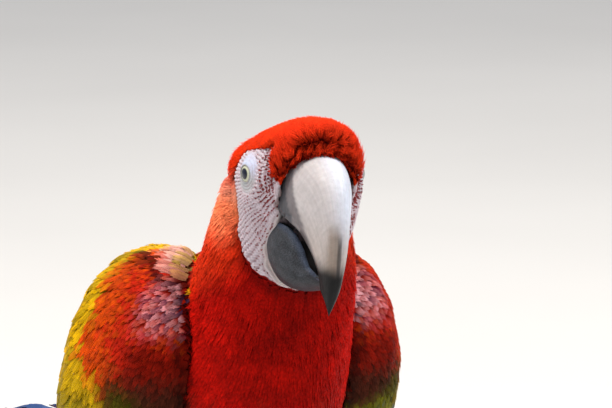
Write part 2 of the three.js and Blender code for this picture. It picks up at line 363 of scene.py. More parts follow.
def add_piece(name, mesh, material, slot, *replaced):
    """Puts a mesh in the scene as a piece of the bird."""
    piece = new_object(name, mesh)
    mesh.materials.append(material)
    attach(piece, "root")
    if replaced:
        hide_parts(*replaced)
    return piece


def with_modifier(mesh, kind, **settings):
    """A new mesh: the given one with one modifier applied."""
    carrier = new_object("carrier", mesh)
    modifier = carrier.modifiers.new(kind.lower(), kind)
    for key, value in settings.items():
        setattr(modifier, key, value)
    ready = carrier.evaluated_get(bpy.context.evaluated_depsgraph_get())
    result = bpy.data.meshes.new_from_object(ready)
    bpy.data.objects.remove(carrier)
    return result


def joined_nodes(names, swell=0.0):
    """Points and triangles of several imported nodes, each swollen a little, and each one's label."""
    points, faces, labels = [], [], []
    total = 0
    for label, name in enumerate(names):
        work = bmesh.new()
        work.from_mesh(NODES[name].data)
        bmesh.ops.remove_doubles(work, verts=work.verts, dist=1e-6)
        bmesh.ops.triangulate(work, faces=work.faces)
        work.normal_update()
        work.verts.index_update()
        here = np.array([v.co for v in work.verts])
        out = np.array([v.normal for v in work.verts])
        points.append(from_frame(here) + out * swell)
        corner = [[v.index + total for v in f.verts] for f in work.faces]
        faces += corner
        labels += [label] * len(corner)
        total += len(here)
        work.free()
    return np.vstack(points), np.array(faces), np.array(labels)


def smooth(points, edges, rounds, weight=0.5, hold=None):
    """Moves each point towards the middle of its neighbours."""
    count = np.bincount(edges.ravel(), minlength=len(points))[:, None]
    count = np.maximum(count, 1)
    for _ in range(rounds):
        total = np.zeros_like(points)
        for k in range(points.shape[1]):
            ends = points[:, k]
            total[:, k] = np.bincount(edges[:, 0], ends[edges[:, 1]], len(points))
            total[:, k] += np.bincount(edges[:, 1], ends[edges[:, 0]], len(points))
        step = (total / count - points) * weight
        points = points + (step if hold is None else step * hold)
    return points


def largest_piece(mesh):
    """Takes the small closed voids out of a mesh, leaving its largest piece."""
    edges = edges_of(mesh)
    group = np.arange(len(mesh.vertices))
    settled = False
    while not settled:
        fresh = group.copy()
        low = np.minimum(group[edges[:, 0]], group[edges[:, 1]])
        np.minimum.at(fresh, edges[:, 0], low)
        np.minimum.at(fresh, edges[:, 1], low)
        fresh = fresh[fresh]
        settled = np.array_equal(fresh, group)
        group = fresh
    kept = np.bincount(group).argmax()
    work = bmesh.new()
    work.from_mesh(mesh)
    work.verts.ensure_lookup_table()
    spare = [work.verts[i] for i in np.flatnonzero(group != kept)]
    bmesh.ops.delete(work, geom=spare, context="VERTS")
    work.to_mesh(mesh)
    work.free()


class Surface:
    """A surface that can say its nearest point and normal for many points at once."""

    def __init__(self, points, faces, labels=None):
        self.points, self.faces = np.asarray(points, float), np.asarray(faces)
        self.tree = BVHTree.FromPolygons(self.points.tolist(), self.faces.tolist())
        self.labels = labels

    def nearest(self, points):
        """The nearest points on the surface, the normals there, and the face numbers."""
        found = [self.tree.find_nearest(p) for p in points.tolist()]
        place = np.array([f[0][:] for f in found])
        normal = np.array([f[1][:] for f in found])
        return place, normal, np.array([f[2] for f in found])

    def distance(self, points):
        """How far points are from the surface."""
        return np.linalg.norm(self.nearest(points)[0] - points, axis=1)

    def labels_at(self, points):
        """The label of the part that each point is nearest to."""
        return self.labels[self.nearest(points)[2]]

    def scatter(self, spacing, seed, wanted):
        """Points spread evenly over the wanted faces, about spacing apart, and their faces."""
        rng = np.random.default_rng(seed)
        a, b, c = (self.points[self.faces[:, k]] for k in range(3))
        area = np.linalg.norm(np.cross(b - a, c - a), axis=1) / 2 * wanted
        number = int(area.sum() / spacing**2 * 5)
        pick = rng.choice(len(area), number, p=area / area.sum())
        u, v = rng.random((2, number, 1))
        flip = u + v > 1
        u, v = np.where(flip, 1 - u, u), np.where(flip, 1 - v, v)
        spots = a[pick] + (b - a)[pick] * u + (c - a)[pick] * v
        for offset in (0.0, 0.5):
            cell = np.floor(spots / spacing + offset).astype(int)
            first = np.sort(np.unique(cell, axis=0, return_index=True)[1])
            spots, pick = spots[first], pick[first]
        return spots, pick


def is_part(labels, *parts):
    """Which labels are of the named parts."""
    return np.isin(labels, [FLESH.index(part) for part in parts])


def on_wings(points):
    """Which points are nearest to a wing."""
    return is_part(MADE["flesh"].labels_at(points), *WINGS)


def on_bare_skin(points):
    """Which points are over bare skin."""
    return MADE["skin"].bare[MADE["skin"].nearest(points)[2]] > 0.5


def clear_share(path, blocked, least=0.15):
    """The share of each feather's length that stays off the places where blocked says so."""
    rows = path[0].shape[1]
    stopped = blocked(path[0].reshape(-1, 3)).reshape(-1, rows)
    first = np.where(stopped.any(1), stopped.argmax(1), rows)
    return np.clip((first - 0.5) / (rows - 1), least, 1)


# ---- Sizes and colours that a user may change ----
def colour_of(name, description, red, green, blue):
    """A colour setting."""
    shade = (red, green, blue)
    return FloatVectorProperty(
        name=name, description=description, subtype="COLOR", size=3, min=0, max=1, default=shade
    )


def length_of(name, description, default, highest=100.0):
    """A length setting, in millimetres."""
    description += ", in millimetres"
    return FloatProperty(
        name=name, description=description, default=default, min=0.01, max=highest
    )


class SkinSettings(bpy.types.PropertyGroup):
    """Sizes and colours of the skin."""

    grain: length_of("Grain", "Size of the skin's mesh before the face is refined", 1.7, 5)
    face_coat: length_of("Face coat", "Depth of the coat on the bare face", 0.15)
    head_coat: length_of("Head coat", "Depth of the coat on the crown", 3.0)
    fringe_coat: length_of("Fringe coat", "Depth of the coat above the bill", 5.6)
    neck_coat: length_of("Neck coat", "Depth of the coat on the neck and breast", 5.0)
    wing_coat: length_of("Wing coat", "Depth of the coat on the wings", 4.5)
    leg_grain: length_of("Leg grain", "Size of the mesh of the legs and toes", 0.9, 5)
    # Partly the reddish lines of the bare face, partly painted shade in the valleys of its folds.
    lid_opening: length_of("Lid opening", "Radius of the opening between the lids", 3.9)
    face: colour_of("Face", "Bare skin of the face", 0.70, 0.61, 0.68)
    furrow: colour_of("Furrow", "Furrows of the bare face", 0.33, 0.20, 0.22)
    lid: colour_of("Lid", "Skin round the eye", 0.44, 0.45, 0.47)
    # Painted highlight: a bluish-white sky reflection on the skin above the eye.
    brow: colour_of("Brow", "Skin above the eye", 0.56, 0.60, 0.78)
    gape: colour_of("Gape", "Skin folds round the bill", 0.52, 0.46, 0.44)
    cere: colour_of("Cere", "Skin at the root of the upper bill", 0.27, 0.22, 0.21)
    mouth: colour_of("Mouth", "Inside of the mouth", 0.006, 0.006, 0.007)
    legs: colour_of("Legs", "Scales of the legs", 0.075, 0.068, 0.064)
    dust: colour_of("Dust", "Dust between the scales of the legs", 0.16, 0.15, 0.14)
    flush: colour_of("Flush", "Faint flush of the bare face", 0.46, 0.30, 0.36)


class HornSettings(bpy.types.PropertyGroup):
    """Colours of the bill, tongue and claws."""

    pale: colour_of("Pale horn", "Upper bill", 0.45, 0.395, 0.375)
    # Painted sky reflection: the upper bill painted whiter and bluer towards its top and its left
    # side.
    cool: colour_of("Cool horn", "Upper bill where it is whitest", 0.70, 0.74, 0.85)
    streak: colour_of("Ridge streak", "Streak along the ridge of the bill", 0.24, 0.18, 0.14)
    # Partly the bill's own dark base, partly painted shade on the side wall beside the cere.
    wall: colour_of("Side wall", "Grey wall beside the root of the upper bill", 0.15, 0.135, 0.145)
    dark: colour_of("Dark horn", "Lower bill and claws", 0.045, 0.048, 0.056)
    tip: colour_of("Bill tip", "Tip of the upper bill", 0.005, 0.005, 0.006)
    tongue: colour_of("Tongue", "Tongue", 0.022, 0.018, 0.020)


class EyeSettings(bpy.types.PropertyGroup):
    """Sizes and colours of the eyes."""

    radius: length_of("Radius", "Radius of the eyeball", 8.0)
    iris_radius: length_of("Iris radius", "Radius of the iris", 4.3)
    pupil_radius: length_of("Pupil radius", "Radius of the pupil", 2.4)
    iris: colour_of("Iris", "Iris", 0.64, 0.66, 0.52)
    iris_rim: colour_of("Iris rim", "Outer ring of the iris", 0.46, 0.46, 0.30)
    pupil: colour_of("Pupil", "Pupil", 0.008, 0.011, 0.028)
    white: colour_of("White", "Eyeball round the iris", 0.30, 0.30, 0.32)


class PlumageSettings(bpy.types.PropertyGroup):
    """Colours of the feathers."""

    # Partly the crown's and forehead's own scarlet, partly painted light: both are set brighter for
    # the glow of light through the feathers from behind.
    crown: colour_of("Crown", "Feathers of the crown", 0.93, 0.040, 0.003)
    forehead: colour_of("Forehead", "Tips of the feathers above the bill", 0.95, 0.045, 0.010)
    forehead_root: colour_of("Forehead roots", "Roots of the feathers above the bill", 0.070, 0, 0)
    face_rows: colour_of("Face rows", "Tiny feathers in rows on the bare face", 0.36, 0.07, 0.07)
    # Painted sunlight: the nape's orange is sunlight painted on its red, and the pale salmon of the
    # nape top is a painted highlight.
    nape: colour_of("Nape", "Feathers behind the face", 1.0, 0.24, 0.10)
    nape_top: colour_of("Nape top", "Pale feathers under the back of the head", 1.0, 0.46, 0.30)
    neck: colour_of("Neck", "Feathers of the back and sides of the neck", 0.74, 0.032, 0.005)
    # Partly the breast's own red, partly painted shade: it is set much darker than the neck because
    # the front of the bird is in shade.
    breast: colour_of("Breast", "Feathers of the throat and breast", 0.34, 0.003, 0.001)
    belly: colour_of("Belly", "Feathers of the belly and thighs", 0.27, 0.018, 0.007)
    wrist: colour_of("Wrist", "Small feathers at the bend of the wing", 0.50, 0.014, 0.003)
    # Painted sheen: pale pink tips that stand in for light glancing off the bend of the wing.
    wrist_gloss: colour_of("Wrist gloss", "Pale tips at the bend of the wing", 1.0, 0.52, 0.58)
    wrist_spot: colour_of("Wrist spots", "Dusky spots at the bend of the wing", 0.075, 0.030, 0.075)
    orange: colour_of("Orange", "Between the red and the yellow of the wing", 0.56, 0.055, 0.001)
    yellow: colour_of("Yellow", "Middle of the wing", 0.66, 0.37, 0.001)
    green: colour_of("Green", "Tips of the yellow feathers", 0.17, 0.17, 0.005)
    # Partly the dusky colour of these feathers, partly painted shade on the lower front of the wing.
    dusk: colour_of("Dusk", "Dark feathers low on the bend of the wing", 0.055, 0.014, 0.007)
    scapular: colour_of("Scapular", "Pale feathers over the shoulder", 0.72, 0.36, 0.30)
    blue: colour_of("Blue", "Flight feathers", 0.008, 0.10, 0.38)
    rump: colour_of("Rump", "Rump and tail coverts", 0.09, 0.33, 0.64)
    tail: colour_of("Tail", "Tail feathers", 0.50, 0.006, 0.004)


GROUPS = {
    "macaw_skin": SkinSettings,
    "macaw_horn": HornSettings,
    "macaw_eyes": EyeSettings,
    "macaw_plumage": PlumageSettings,
}


def colours_of(group):
    """A function that gives the colours of one group of settings, by their names, as arrays."""
    return lambda name: np.array(getattr(getattr(bpy.context.scene, group), name)[:])


skin_colour, horn, eye_colour, plume = (colours_of(group) for group in GROUPS)


# ---- Materials ----
class Finish:
    """A material under construction, with short ways to add its nodes."""

    def __init__(self, name, **settings):
        self.material = bpy.data.materials.new(name)
        self.material.use_nodes = True
        self.tree = self.material.node_tree
        self.surface = self.tree.nodes["Principled BSDF"]
        for socket, value in settings.items():
            self.surface.inputs[socket.replace("_", " ")].default_value = value

    def add(self, kind, links=(), **properties):
        """Adds a node. links is a dict from input names or numbers to sockets or values."""
        node = self.tree.nodes.new(f"ShaderNode{kind}")
        for key, value in properties.items():
            setattr(node, key, value)
        for key, value in dict(links).items():
            self.join(node.inputs[key], value)
        return node.outputs[0]

    def join(self, socket, value):
        """Links a socket to another, or gives it a value."""
        if isinstance(value, bpy.types.NodeSocket):
            self.tree.links.new(value, socket)
        else:
            socket.default_value = value

    def sum(self, operation, first, second=0.0, third=0.0):
        """A sum on one, two or three numbers."""
        return self.add("Math", {0: first, 1: second, 2: third}, operation=operation)

    def times(self, first, second):
        """One number times another."""
        return self.sum("MULTIPLY", first, second)

    def range(self, value, low, high, start=0.0, end=1.0):
        """A number taken from one range to another."""
        links = {"Value": value, "From Min": low, "From Max": high, "To Min": start, "To Max": end}
        return self.add("MapRange", links)

    def tint(self):
        """The colour that the mesh's points carry."""
        return self.add("Attribute", attribute_name="Tint")

    def noise(self, scale, detail=3.0, stretch=None, vector=None):
        """Noise through the space of the piece."""
        place = vector or self.add("NewGeometry")
        if stretch:
            place = self.add("Mapping", {"Vector": place, "Scale": stretch})
        return self.add("TexNoise", {"Vector": place, "Scale": scale, "Detail": detail})

    def shade(self, colour, factor):
        """A colour made lighter or darker by a factor."""
        scaled = self.add("VectorMath", {0: colour, "Scale": factor}, operation="SCALE")
        self.join(self.surface.inputs["Base Color"], scaled)
        return scaled

    def mottle(self, noise, darkest, lightest):
        """A factor that follows a noise from a darkest to a lightest shade."""
        return self.range(noise, 0.3, 0.7, darkest, lightest)

    def mix(self, share, first, second):
        """A mix of two colours."""
        node = self.tree.nodes.new("ShaderNodeMix")
        node.data_type = "RGBA"
        for key, value in {0: share, 6: first, 7: second}.items():
            if not isinstance(value, bpy.types.NodeSocket) and key > 0:
                value = (*value, 1)
            self.join(node.inputs[key], value)
        return node.outputs[2]

    def bump(self, height, distance, strength=1.0):
        """Raises the surface by a height."""
        links = {"Height": height, "Distance": distance, "Strength": strength}
        self.join(self.surface.inputs["Normal"], self.add("Bump", links))


def feather_finish(name, barbs, roughness, gloss, shaft):
    """Feathers: fine slanted barbs on each side of a shaft, and slow changes of shade."""
    look = Finish(name, Roughness=roughness, Specular_IOR_Level=gloss)
    place = look.add("SeparateXYZ", {0: look.add("UVMap", uv_map="Vane")})
    across, along = place, place.node.outputs[1]
    out = look.sum("ABSOLUTE", look.sum("SUBTRACT", across, 0.5))
    slant = look.sum("MULTIPLY_ADD", out, -barbs * 0.4, look.times(along, barbs))
    ragged = look.noise(900, 2)
    ripple = look.sum("MULTIPLY_ADD", ragged, 5.0, look.times(slant, math.tau))
    wave = look.sum("SINE", ripple)
    rib_shade = look.range(wave, -1, 1, 0.84, 1.08)
    patch = look.mottle(look.noise(130, 3), 0.86, 1.12)
    spine = look.range(out, 0.015, 0.05, shaft, 1.0)
    factor = look.times(look.times(rib_shade, patch), spine)
    look.shade(look.tint(), factor)
    look.bump(wave, 0.00012, 0.6)
    return look.material


def bare_finish():
    """Bare skin: thin and matt, with fine creases and a faint flush."""
    look = Finish(
        "bare skin", Roughness=0.62, Sheen_Weight=0.1,
        Subsurface_Weight=0.12, Subsurface_Scale=0.002, Subsurface_Radius=(1.0, 0.35, 0.25),
    )
    flush = look.range(look.noise(420, 4), 0.45, 0.72, 0, 0.3)
    blushed = look.mix(flush, look.tint(), skin_colour("flush"))
    grain = look.noise(2400, 3)
    look.shade(blushed, look.mottle(grain, 0.86, 1.06))
    look.bump(grain, 0.00025, 0.5)
    return look.material


def down_finish():
    """The skin under the feathers, matted with down."""
    look = Finish("down", Roughness=0.9, Specular_IOR_Level=0.1)
    strands = look.noise(1500, 3, stretch=(1, 1, 0.25))
    look.shade(look.tint(), look.mottle(strands, 0.35, 0.75))
    look.bump(strands, 0.0006, 0.6)
    return look.material


def scale_finish():
    """Legs: small raised scales with dusty gaps."""
    look = Finish("leg scales", Roughness=0.6)
    place = look.add("NewGeometry")
    links = {"Vector": place, "Scale": 520.0, "Randomness": 0.8}
    edge = look.add("TexVoronoi", links, feature="DISTANCE_TO_EDGE")
    raised = look.range(edge, 0.0, 0.22)
    dusty = look.range(look.noise(240, 3), 0.4, 0.7, 0, 0.5)
    dust = look.mix(dusty, look.tint(), skin_colour("dust"))
    look.shade(dust, look.range(raised, 0, 1, 1.5, 0.85))
    look.bump(raised, 0.0005, 0.7)
    return look.material


def horn_finish(name, roughness, grain, depth):
    """Horn: layered growth lines, faint streaks along it, and a soft polish."""
    look = Finish(
        name, Roughness=roughness, Coat_Weight=0.04, Coat_Roughness=0.3,
        Specular_IOR_Level=0.14, Subsurface_Weight=0.05, Subsurface_Scale=0.003,
    )
    place = look.add("UVMap", uv_map="Vane")
    streaks = look.noise(3.0, 5, stretch=(22, 1.2, 1), vector=place)
    layers = look.noise(3.0, 4, stretch=(1.5, 16, 1), vector=place)
    speck = look.noise(grain, 4)
    streaky = look.mottle(streaks, 0.90, 1.08)
    factor = look.times(streaky, look.mottle(layers, 0.95, 1.04))
    factor = look.times(factor, look.range(speck, 0.35, 0.65, 1 - depth, 1 + depth))
    look.shade(look.tint(), factor)
    rough = look.range(look.noise(260, 4), 0.3, 0.7, roughness - 0.08, roughness + 0.14)
    look.join(look.surface.inputs["Roughness"], rough)
    raised = look.times(layers, 0.7)
    height = look.sum("ADD", raised, look.sum("ADD", look.times(streaks, 0.4), speck))
    look.bump(height, 0.0003, 0.5)
    return look.material


def eye_finish():
    """The eye: a fibrous iris under a wet, clear surface."""
    look = Finish(
        "wet eye", Roughness=0.3, Coat_Weight=0.5, Coat_Roughness=0.02, Coat_IOR=1.376,
        Specular_IOR_Level=0.15,
    )
    fibres = look.noise(1800, 3)
    look.shade(look.tint(), look.mottle(fibres, 0.82, 1.1))
    return look.material


def tongue_finish():
    """The tongue: damp and finely pitted."""
    look = Finish("tongue flesh", Roughness=0.6)
    pits = look.noise(1100, 3)
    look.shade(look.tint(), look.mottle(pits, 0.7, 1.2))
    look.bump(pits, 0.0003, 0.5)
    return look.material


FINISHES = {
    "soft": lambda: feather_finish("soft feathers", barbs=6, roughness=0.7, gloss=0.04, shaft=1),
    "scallop": lambda: feather_finish(
        "scalloped feathers", barbs=14, roughness=0.55, gloss=0.03, shaft=0.8
    ),
    "quill": lambda: feather_finish(
        "long feathers", barbs=90, roughness=0.4, gloss=0.25, shaft=0.55
    ),
    "bare": bare_finish,
    "down": down_finish,
    "scales": scale_finish,
    "horn": lambda: horn_finish("pale horn", roughness=0.42, grain=500, depth=0.05),
    "dark_horn": lambda: horn_finish("dark horn", roughness=0.42, grain=1900, depth=0.35),
    "eye": eye_finish,
    "tongue": tongue_finish,
}


def finish(key):
    """A material, made when it is first asked for."""
    if key not in MADE:
        MADE[key] = FINISHES[key]()
    return MADE[key]


# ---- Zones of the head, in the head's own frame ----
# The edge of the bare face seen from the side, as (ahead, up), from above the eye forwards.
BARE_EDGE = [
    (-14.9, 4), (-11.5, 8), (-1.7, 10.9), (8.9, 13.8), (20.2, 16.7), (26, 17.4), (34, 12), (34, -4),
    (36, -30), (16, -54), (8, -50), (3.6, -42.5), (0, -35),
    (-3.6, -27), (-5, -20), (-6.5, -13.3), (-9, -10), (-12.5, -7.8), (-17, -6), (-17.5, -1.5),
]
# How far out the feathers of the forehead reach, by height.
FOREHEAD_UP = [-0.6, 0.8, 4, 7.4, 10.3, 16.7]
FOREHEAD_OUT = [10, 17.2, 19.2, 20.2, 20.9, 21.4]
# The skin fold that runs down beside the root of the upper bill, as (ahead, up).
GAPE_FOLD = [(27.5, 6), (24.6, 0.8), (23.4, -4.5), (22.8, -8.3), (25.4, -11.4), (29.5, -12.8)]
# The folds fan out round the bill's corner: their spacing in radians, and from and to how far out.
FACE_FOLDS = ((0.17, 0, 13), (0.085, 13, 26), (0.0425, 26, 99))


def line_distance(ahead, up, line):
    """How far places seen from the side are from a broken line."""
    points = np.stack([ahead, up], 1)
    nearest = np.full(len(points), 1e9)
    for a, b in zip(np.array(line[:-1], float), np.array(line[1:], float)):
        share = np.clip(((points - a) @ (b - a)) / ((b - a) @ (b - a)), 0, 1)
        away = np.linalg.norm(points - a - share[:, None] * (b - a), axis=1)
        nearest = np.minimum(nearest, away)
    return nearest


def face_depth(ahead, up):
    """How far places seen from the side lie inside the bare face's edge; negative outside."""
    edge = [*BARE_EDGE, BARE_EDGE[0]]
    inside = np.zeros(len(ahead), bool)
    for a, b in zip(edge[:-1], edge[1:]):
        crosses = (a[1] > up) != (b[1] > up)
        level = (up - a[1]) / (b[1] - a[1] or 1e-9)
        inside ^= crosses & (ahead < a[0] + level * (b[0] - a[0]))
    nearest = line_distance(ahead, up, edge)
    return np.where(inside, nearest, -nearest)


def side_view(points):
    """How far ahead, how high and how far out points are, in the head's own frame."""
    return spread(to_head(points))


def bareness(points):
    """1 on bare skin and 0 under feathers, and how far points are from the bill's two halves."""
    ahead, up, out = side_view(points)
    depth = face_depth(ahead, up) + 0.7 * wobble(points, 5, 3)
    forehead = np.interp(up, FOREHEAD_UP, FOREHEAD_OUT)
    inner = 10 + (forehead - 10) * ease(14, 20, ahead)
    cheek = ease(-0.9, 0.9, depth) * ease(inner - 0.8, inner + 0.8, out)
    near = ahead > -30
    lower, upper = np.full((2, len(points)), 99.0)
    lower[near] = MADE["lower_bill"].distance(points[near])
    upper[near] = MADE["upper_bill"].distance(points[near])
    chin = 1 - ease(4.5, 6.5, lower)
    reach = 2.4 - 1.7 * ease(5, 12, up)
    cere = 1 - ease(reach * 0.5, reach, upper)
    mouth = ease(10, 14, ahead) * (1 - ease(12.5, 14.5, out))
    mouth = mouth * ease(-37, -33, up) * (1 - ease(-9, -5, up))
    bare = np.maximum(np.maximum(cheek, chin), np.maximum(cere, mouth))
    return np.clip(bare, 0, 1), lower, upper


EYE_GAZE = math.radians(14)  # each eye looks this far forward of straight out


def to_eye(points):
    """Head-frame points in the frame of the nearer eye: along its gaze, ahead of it, above it."""
    place = np.array(points, float)
    place[:, 0] = np.abs(place[:, 0])
    ahead, up, out = -place[:, 1] - EYE_AHEAD, place[:, 2] - EYE_UP, place[:, 0] - EYE_OUT
    along = out * math.cos(EYE_GAZE) + ahead * math.sin(EYE_GAZE)
    before = ahead * math.cos(EYE_GAZE) - out * math.sin(EYE_GAZE)
    return np.stack([along, before, up], -1)


def from_eye(points, side):
    """Points of an eye's frame in the head's frame, for the eye on the given side."""
    along, before, up = points[..., 0], points[..., 1], points[..., 2]
    out = along * math.cos(EYE_GAZE) - before * math.sin(EYE_GAZE)
    ahead = along * math.sin(EYE_GAZE) + before * math.cos(EYE_GAZE)
    return np.stack([side * (out + EYE_OUT), -ahead - EYE_AHEAD, up + EYE_UP], -1)


def eye_offsets(points):
    """How far head points are from the nearer eye's axis, ahead of it, above it and along it."""
    along, before, above = to_eye(to_head(points)).T
    return np.hypot(before, above), before, above, along


def gape_fold(points):
    """1 on the crest of the fold beside the upper bill, falling to 0 away from it."""
    ahead, up, out = side_view(points)
    away = line_distance(ahead, up, GAPE_FOLD)
    return np.exp(-((away / 1.15) ** 2)) * ease(10, 12, out)


def furrows(points, lower):
    """The beaded folds of the bare face: their height in millimetres, and 0 to 1 in a furrow."""
    ahead, up, _ = side_view(points)
    round_eye, before, above, _ = eye_offsets(points)
    behind, below = 29 - ahead, 5 - up
    reach, turned = np.hypot(behind, below), np.arctan2(behind, below)
    warp = wobble(points, 9, 5) * 1.2 + wobble(points, 3.6, 7) * 0.7
    rows, beads = np.zeros(len(points)), np.zeros(len(points))
    for pitch, start, end in FACE_FOLDS:
        here = ease(start - 1.5, start + 1.5, reach) * (1 - ease(end - 1.5, end + 1.5, reach))
        rows += here * np.cos(turned * math.tau / pitch + warp)
        shift = 2.1 * np.floor(turned / pitch + warp / (math.tau))
        beads += here * np.cos(reach * math.tau / 1.5 + shift + warp)
    lores = ease(9, 12, before) * ease(-9, -4, above)
    columns = np.cos(ahead * math.tau / 1.75 + up * 0.25 + warp)
    knots = np.cos(up * math.tau / 1.6 + 2.1 * np.floor(ahead / 1.75 + warp / (math.tau)))
    rows = rows * (1 - lores) + columns * lores
    beads = beads * (1 - lores) + knots * lores
    away = ease(8.5, 10.5, np.hypot(before * 1.3, above))
    near_bill = 1 - ease(5.5, 8.5, lower)
    fold = gape_fold(points)
    plain = away * (1 - near_bill) * (1 - np.clip(fold * 1.5, 0, 1))
    bump = rows * 0.55 + beads * 0.4 + 0.25 * rows * beads
    angle = np.arctan2(above, before)
    rings = np.cos(round_eye * math.tau / 1.3 + wobble(points, 9, 9) * 0.7)
    rings = rings * ease(4.4, 5.4, round_eye)
    rings = rings * (0.65 + 0.35 * np.cos(angle * 30 + round_eye * 2))
    rings = rings * (0.35 + 0.65 * ease(3, -4, above - before))
    folds = np.cos(lower * math.tau / 1.75 + wobble(points, 14, 4) * 0.9)
    height = 0.40 * bump * plain + 0.30 * folds * near_bill + 0.26 * rings * (1 - away) + fold
    pouch = np.exp(-(((round_eye - 7.5) / 2.2) ** 2)) * ease(-3, 6, before * 0.5 - above * 0.8)
    # dark: the valleys of the face's folds, the rings round the eye and the folds by the bill, partly
    # the face's reddish lines and partly painted shade in the furrows.
    dark = np.clip(0.15 - bump * 1.1, 0, 1) * plain
    dark = dark + np.clip(-rings, 0, 1) * (1 - away) * 0.7
    dark = dark + np.clip(-folds, 0, 1) * near_bill * 0.3
    return height + 0.35 * pouch, np.clip(dark, 0, 1)


# ---- Colours of the plumage, the same for skin and feathers ----
def wing_tint(points, chance):
    """Colours of a wing's covert feathers. chance is a number from 0 to 1 for each feather."""
    ahead, up, _ = spread(points)
    stray = 4 * wobble(points, 30, 12) + 10 * (chance - 0.5)
    across = ahead + 1.05 * np.minimum(up - 180, 0) + stray
    red = blend(plume("orange"), plume("wrist"), ease(46, 58, across))
    yellow = blend(plume("yellow"), plume("green"), 0.6 * ease(182, 150, up))
    # low: the lower front of the wing, darkened, partly its own dusky feathers and partly painted
    # shade.
    low = ease(180, 165, up + 0.5 * stray) * ease(46, 56, ahead)
    # leafy: a dark green in the same low zone, partly its own green and partly painted shade.
    leafy = low * ease(68, 58, ahead) * ease(172, 162, up)
    behind = ease(-30, 0, ahead)
    greens = ease(160, 152, up + 0.6 * stray) * (behind * ease(68, 60, ahead))
    blues = ease(152, 145, up + 0.4 * stray) * behind
    return overlay(
        blend(yellow, red, ease(30, 40, across)),
        # Painted shade: the red at the front of the wing's bend is darkened below its top.
        (plume("wrist") * 0.45, ease(57, 67, ahead) * ease(192, 182, up)),
        (plume("dusk"), 0.95 * low),
        (plume("green") * 0.4, 0.8 * leafy),
        (plume("green"), np.maximum(greens, ease(-24, -40, across))),
        (plume("blue"), np.maximum(blues, ease(-54, -64, across))),
    )


def body_tint(points):
    """Colours of the head, neck, trunk and thighs, with painted light on the crown, nape and back of
    the neck, and painted shade on the breast.
    """
    ahead, up, out = spread(points)
    place = to_head(points)
    back = ease(-6, 14, up - (150 + 0.62 * ahead) - 10)
    # The breast's deep red is partly painted shade on the front of the bird, and it is painted
    # lighter towards its sides as painted light on the flanks.
    breast = plume("breast") * (1 + 0.5 * ease(12, 30, out))[:, None]
    # The neck is painted lighter on its back than on the breast, then orange and pale towards the
    # nape: painted light and a painted highlight from above and behind.
    neck = overlay(
        breast,
        (plume("neck"), back * ease(188, 222, up)),
        (plume("nape"), back * ease(234, 250, up)),
        (plume("nape_top"), back * ease(250, 258, up)),
    )
    low = up + 0.3 * ahead + 9 * wobble(points, 26, 14)
    crown = ease(-14, 6, place[:, 2] + 0.25 * place[:, 1])
    crown = np.maximum(crown, ease(2, 12, -place[:, 1]) * ease(-8, -2, place[:, 2]))
    rump = ease(-4, -34, ahead) * back + ease(-92, -118, ahead) * (1 - back)
    colour = blend(plume("belly"), neck, ease(172, 198, low))
    return overlay(colour, (plume("crown"), crown), (plume("rump"), rump))


def coat_tint(points, labels, chance=0.5):
    """Colours of the coat at points whose nearest part is known."""
    chance = np.broadcast_to(chance, len(points))
    colour = body_tint(points)
    wing = is_part(labels, *WINGS)
    colour[wing] = wing_tint(points[wing], chance[wing])
    colour[is_part(labels, "tail_coverts")] = plume("rump")
    return colour


# ---- Skin ----
def coat_depth(points, labels, bare):
    """How deep the coat is over the skin, in millimetres."""
    sizes = bpy.context.scene.macaw_skin
    ahead, up, out = side_view(points)
    depth = np.full(len(points), sizes.neck_coat)
    head = is_part(labels, "head")
    fringe = ease(6, 18, ahead) * ease(0, 8, up)
    depth[head] = (sizes.head_coat + (sizes.fringe_coat - sizes.head_coat) * fringe)[head]
    depth[is_part(labels, *WINGS)] = sizes.wing_coat
    depth[is_part(labels, *THIGHS, "tail_coverts")] = 4.0
    near_face = 1 - ease(1, 15, -face_depth(ahead, up))
    near_face = near_face * (1 - fringe) * is_part(labels, "head", "neck")
    depth = depth * (1 - 0.4 * near_face)
    beside_wing = 1 - ease(1, 12, MADE["wings"].distance(points))
    depth = depth * (1 - 0.6 * beside_wing * is_part(labels, "neck", "trunk"))
    hollow = 4.2 * ease(1, 16, ahead) * ease(8, 14, out) * (1 - ease(26, 32, ahead))
    hollow = hollow * ease(7, 15, eye_offsets(points)[0])
    return depth * (1 - bare) + (sizes.face_coat + hollow) * bare


def refine_face(mesh):
    """Splits the faces of the bare face finely, so that folds and lids can be raised on it."""
    for _ in range(2):
        work = bmesh.new()
        work.from_mesh(mesh)
        work.faces.ensure_lookup_table()
        centres = np.array([f.calc_center_median() for f in work.faces])
        ahead, up, out = side_view(from_frame(centres))
        cheek = (face_depth(ahead, up) > -3.5) & (out > 6)
        chin = (ahead > 8) & (ahead < 34) & (up < -36) & (up > -60)
        wanted = (cheek | chin) & (ahead > -24) & (up > -62)
        faces = [work.faces[i] for i in np.flatnonzero(wanted)]
        edges = list({e for f in faces for e in f.edges})
        bmesh.ops.subdivide_edges(work, edges=edges, cuts=1, use_grid_fill=True, smooth=0)
        work.to_mesh(mesh)
        work.free()


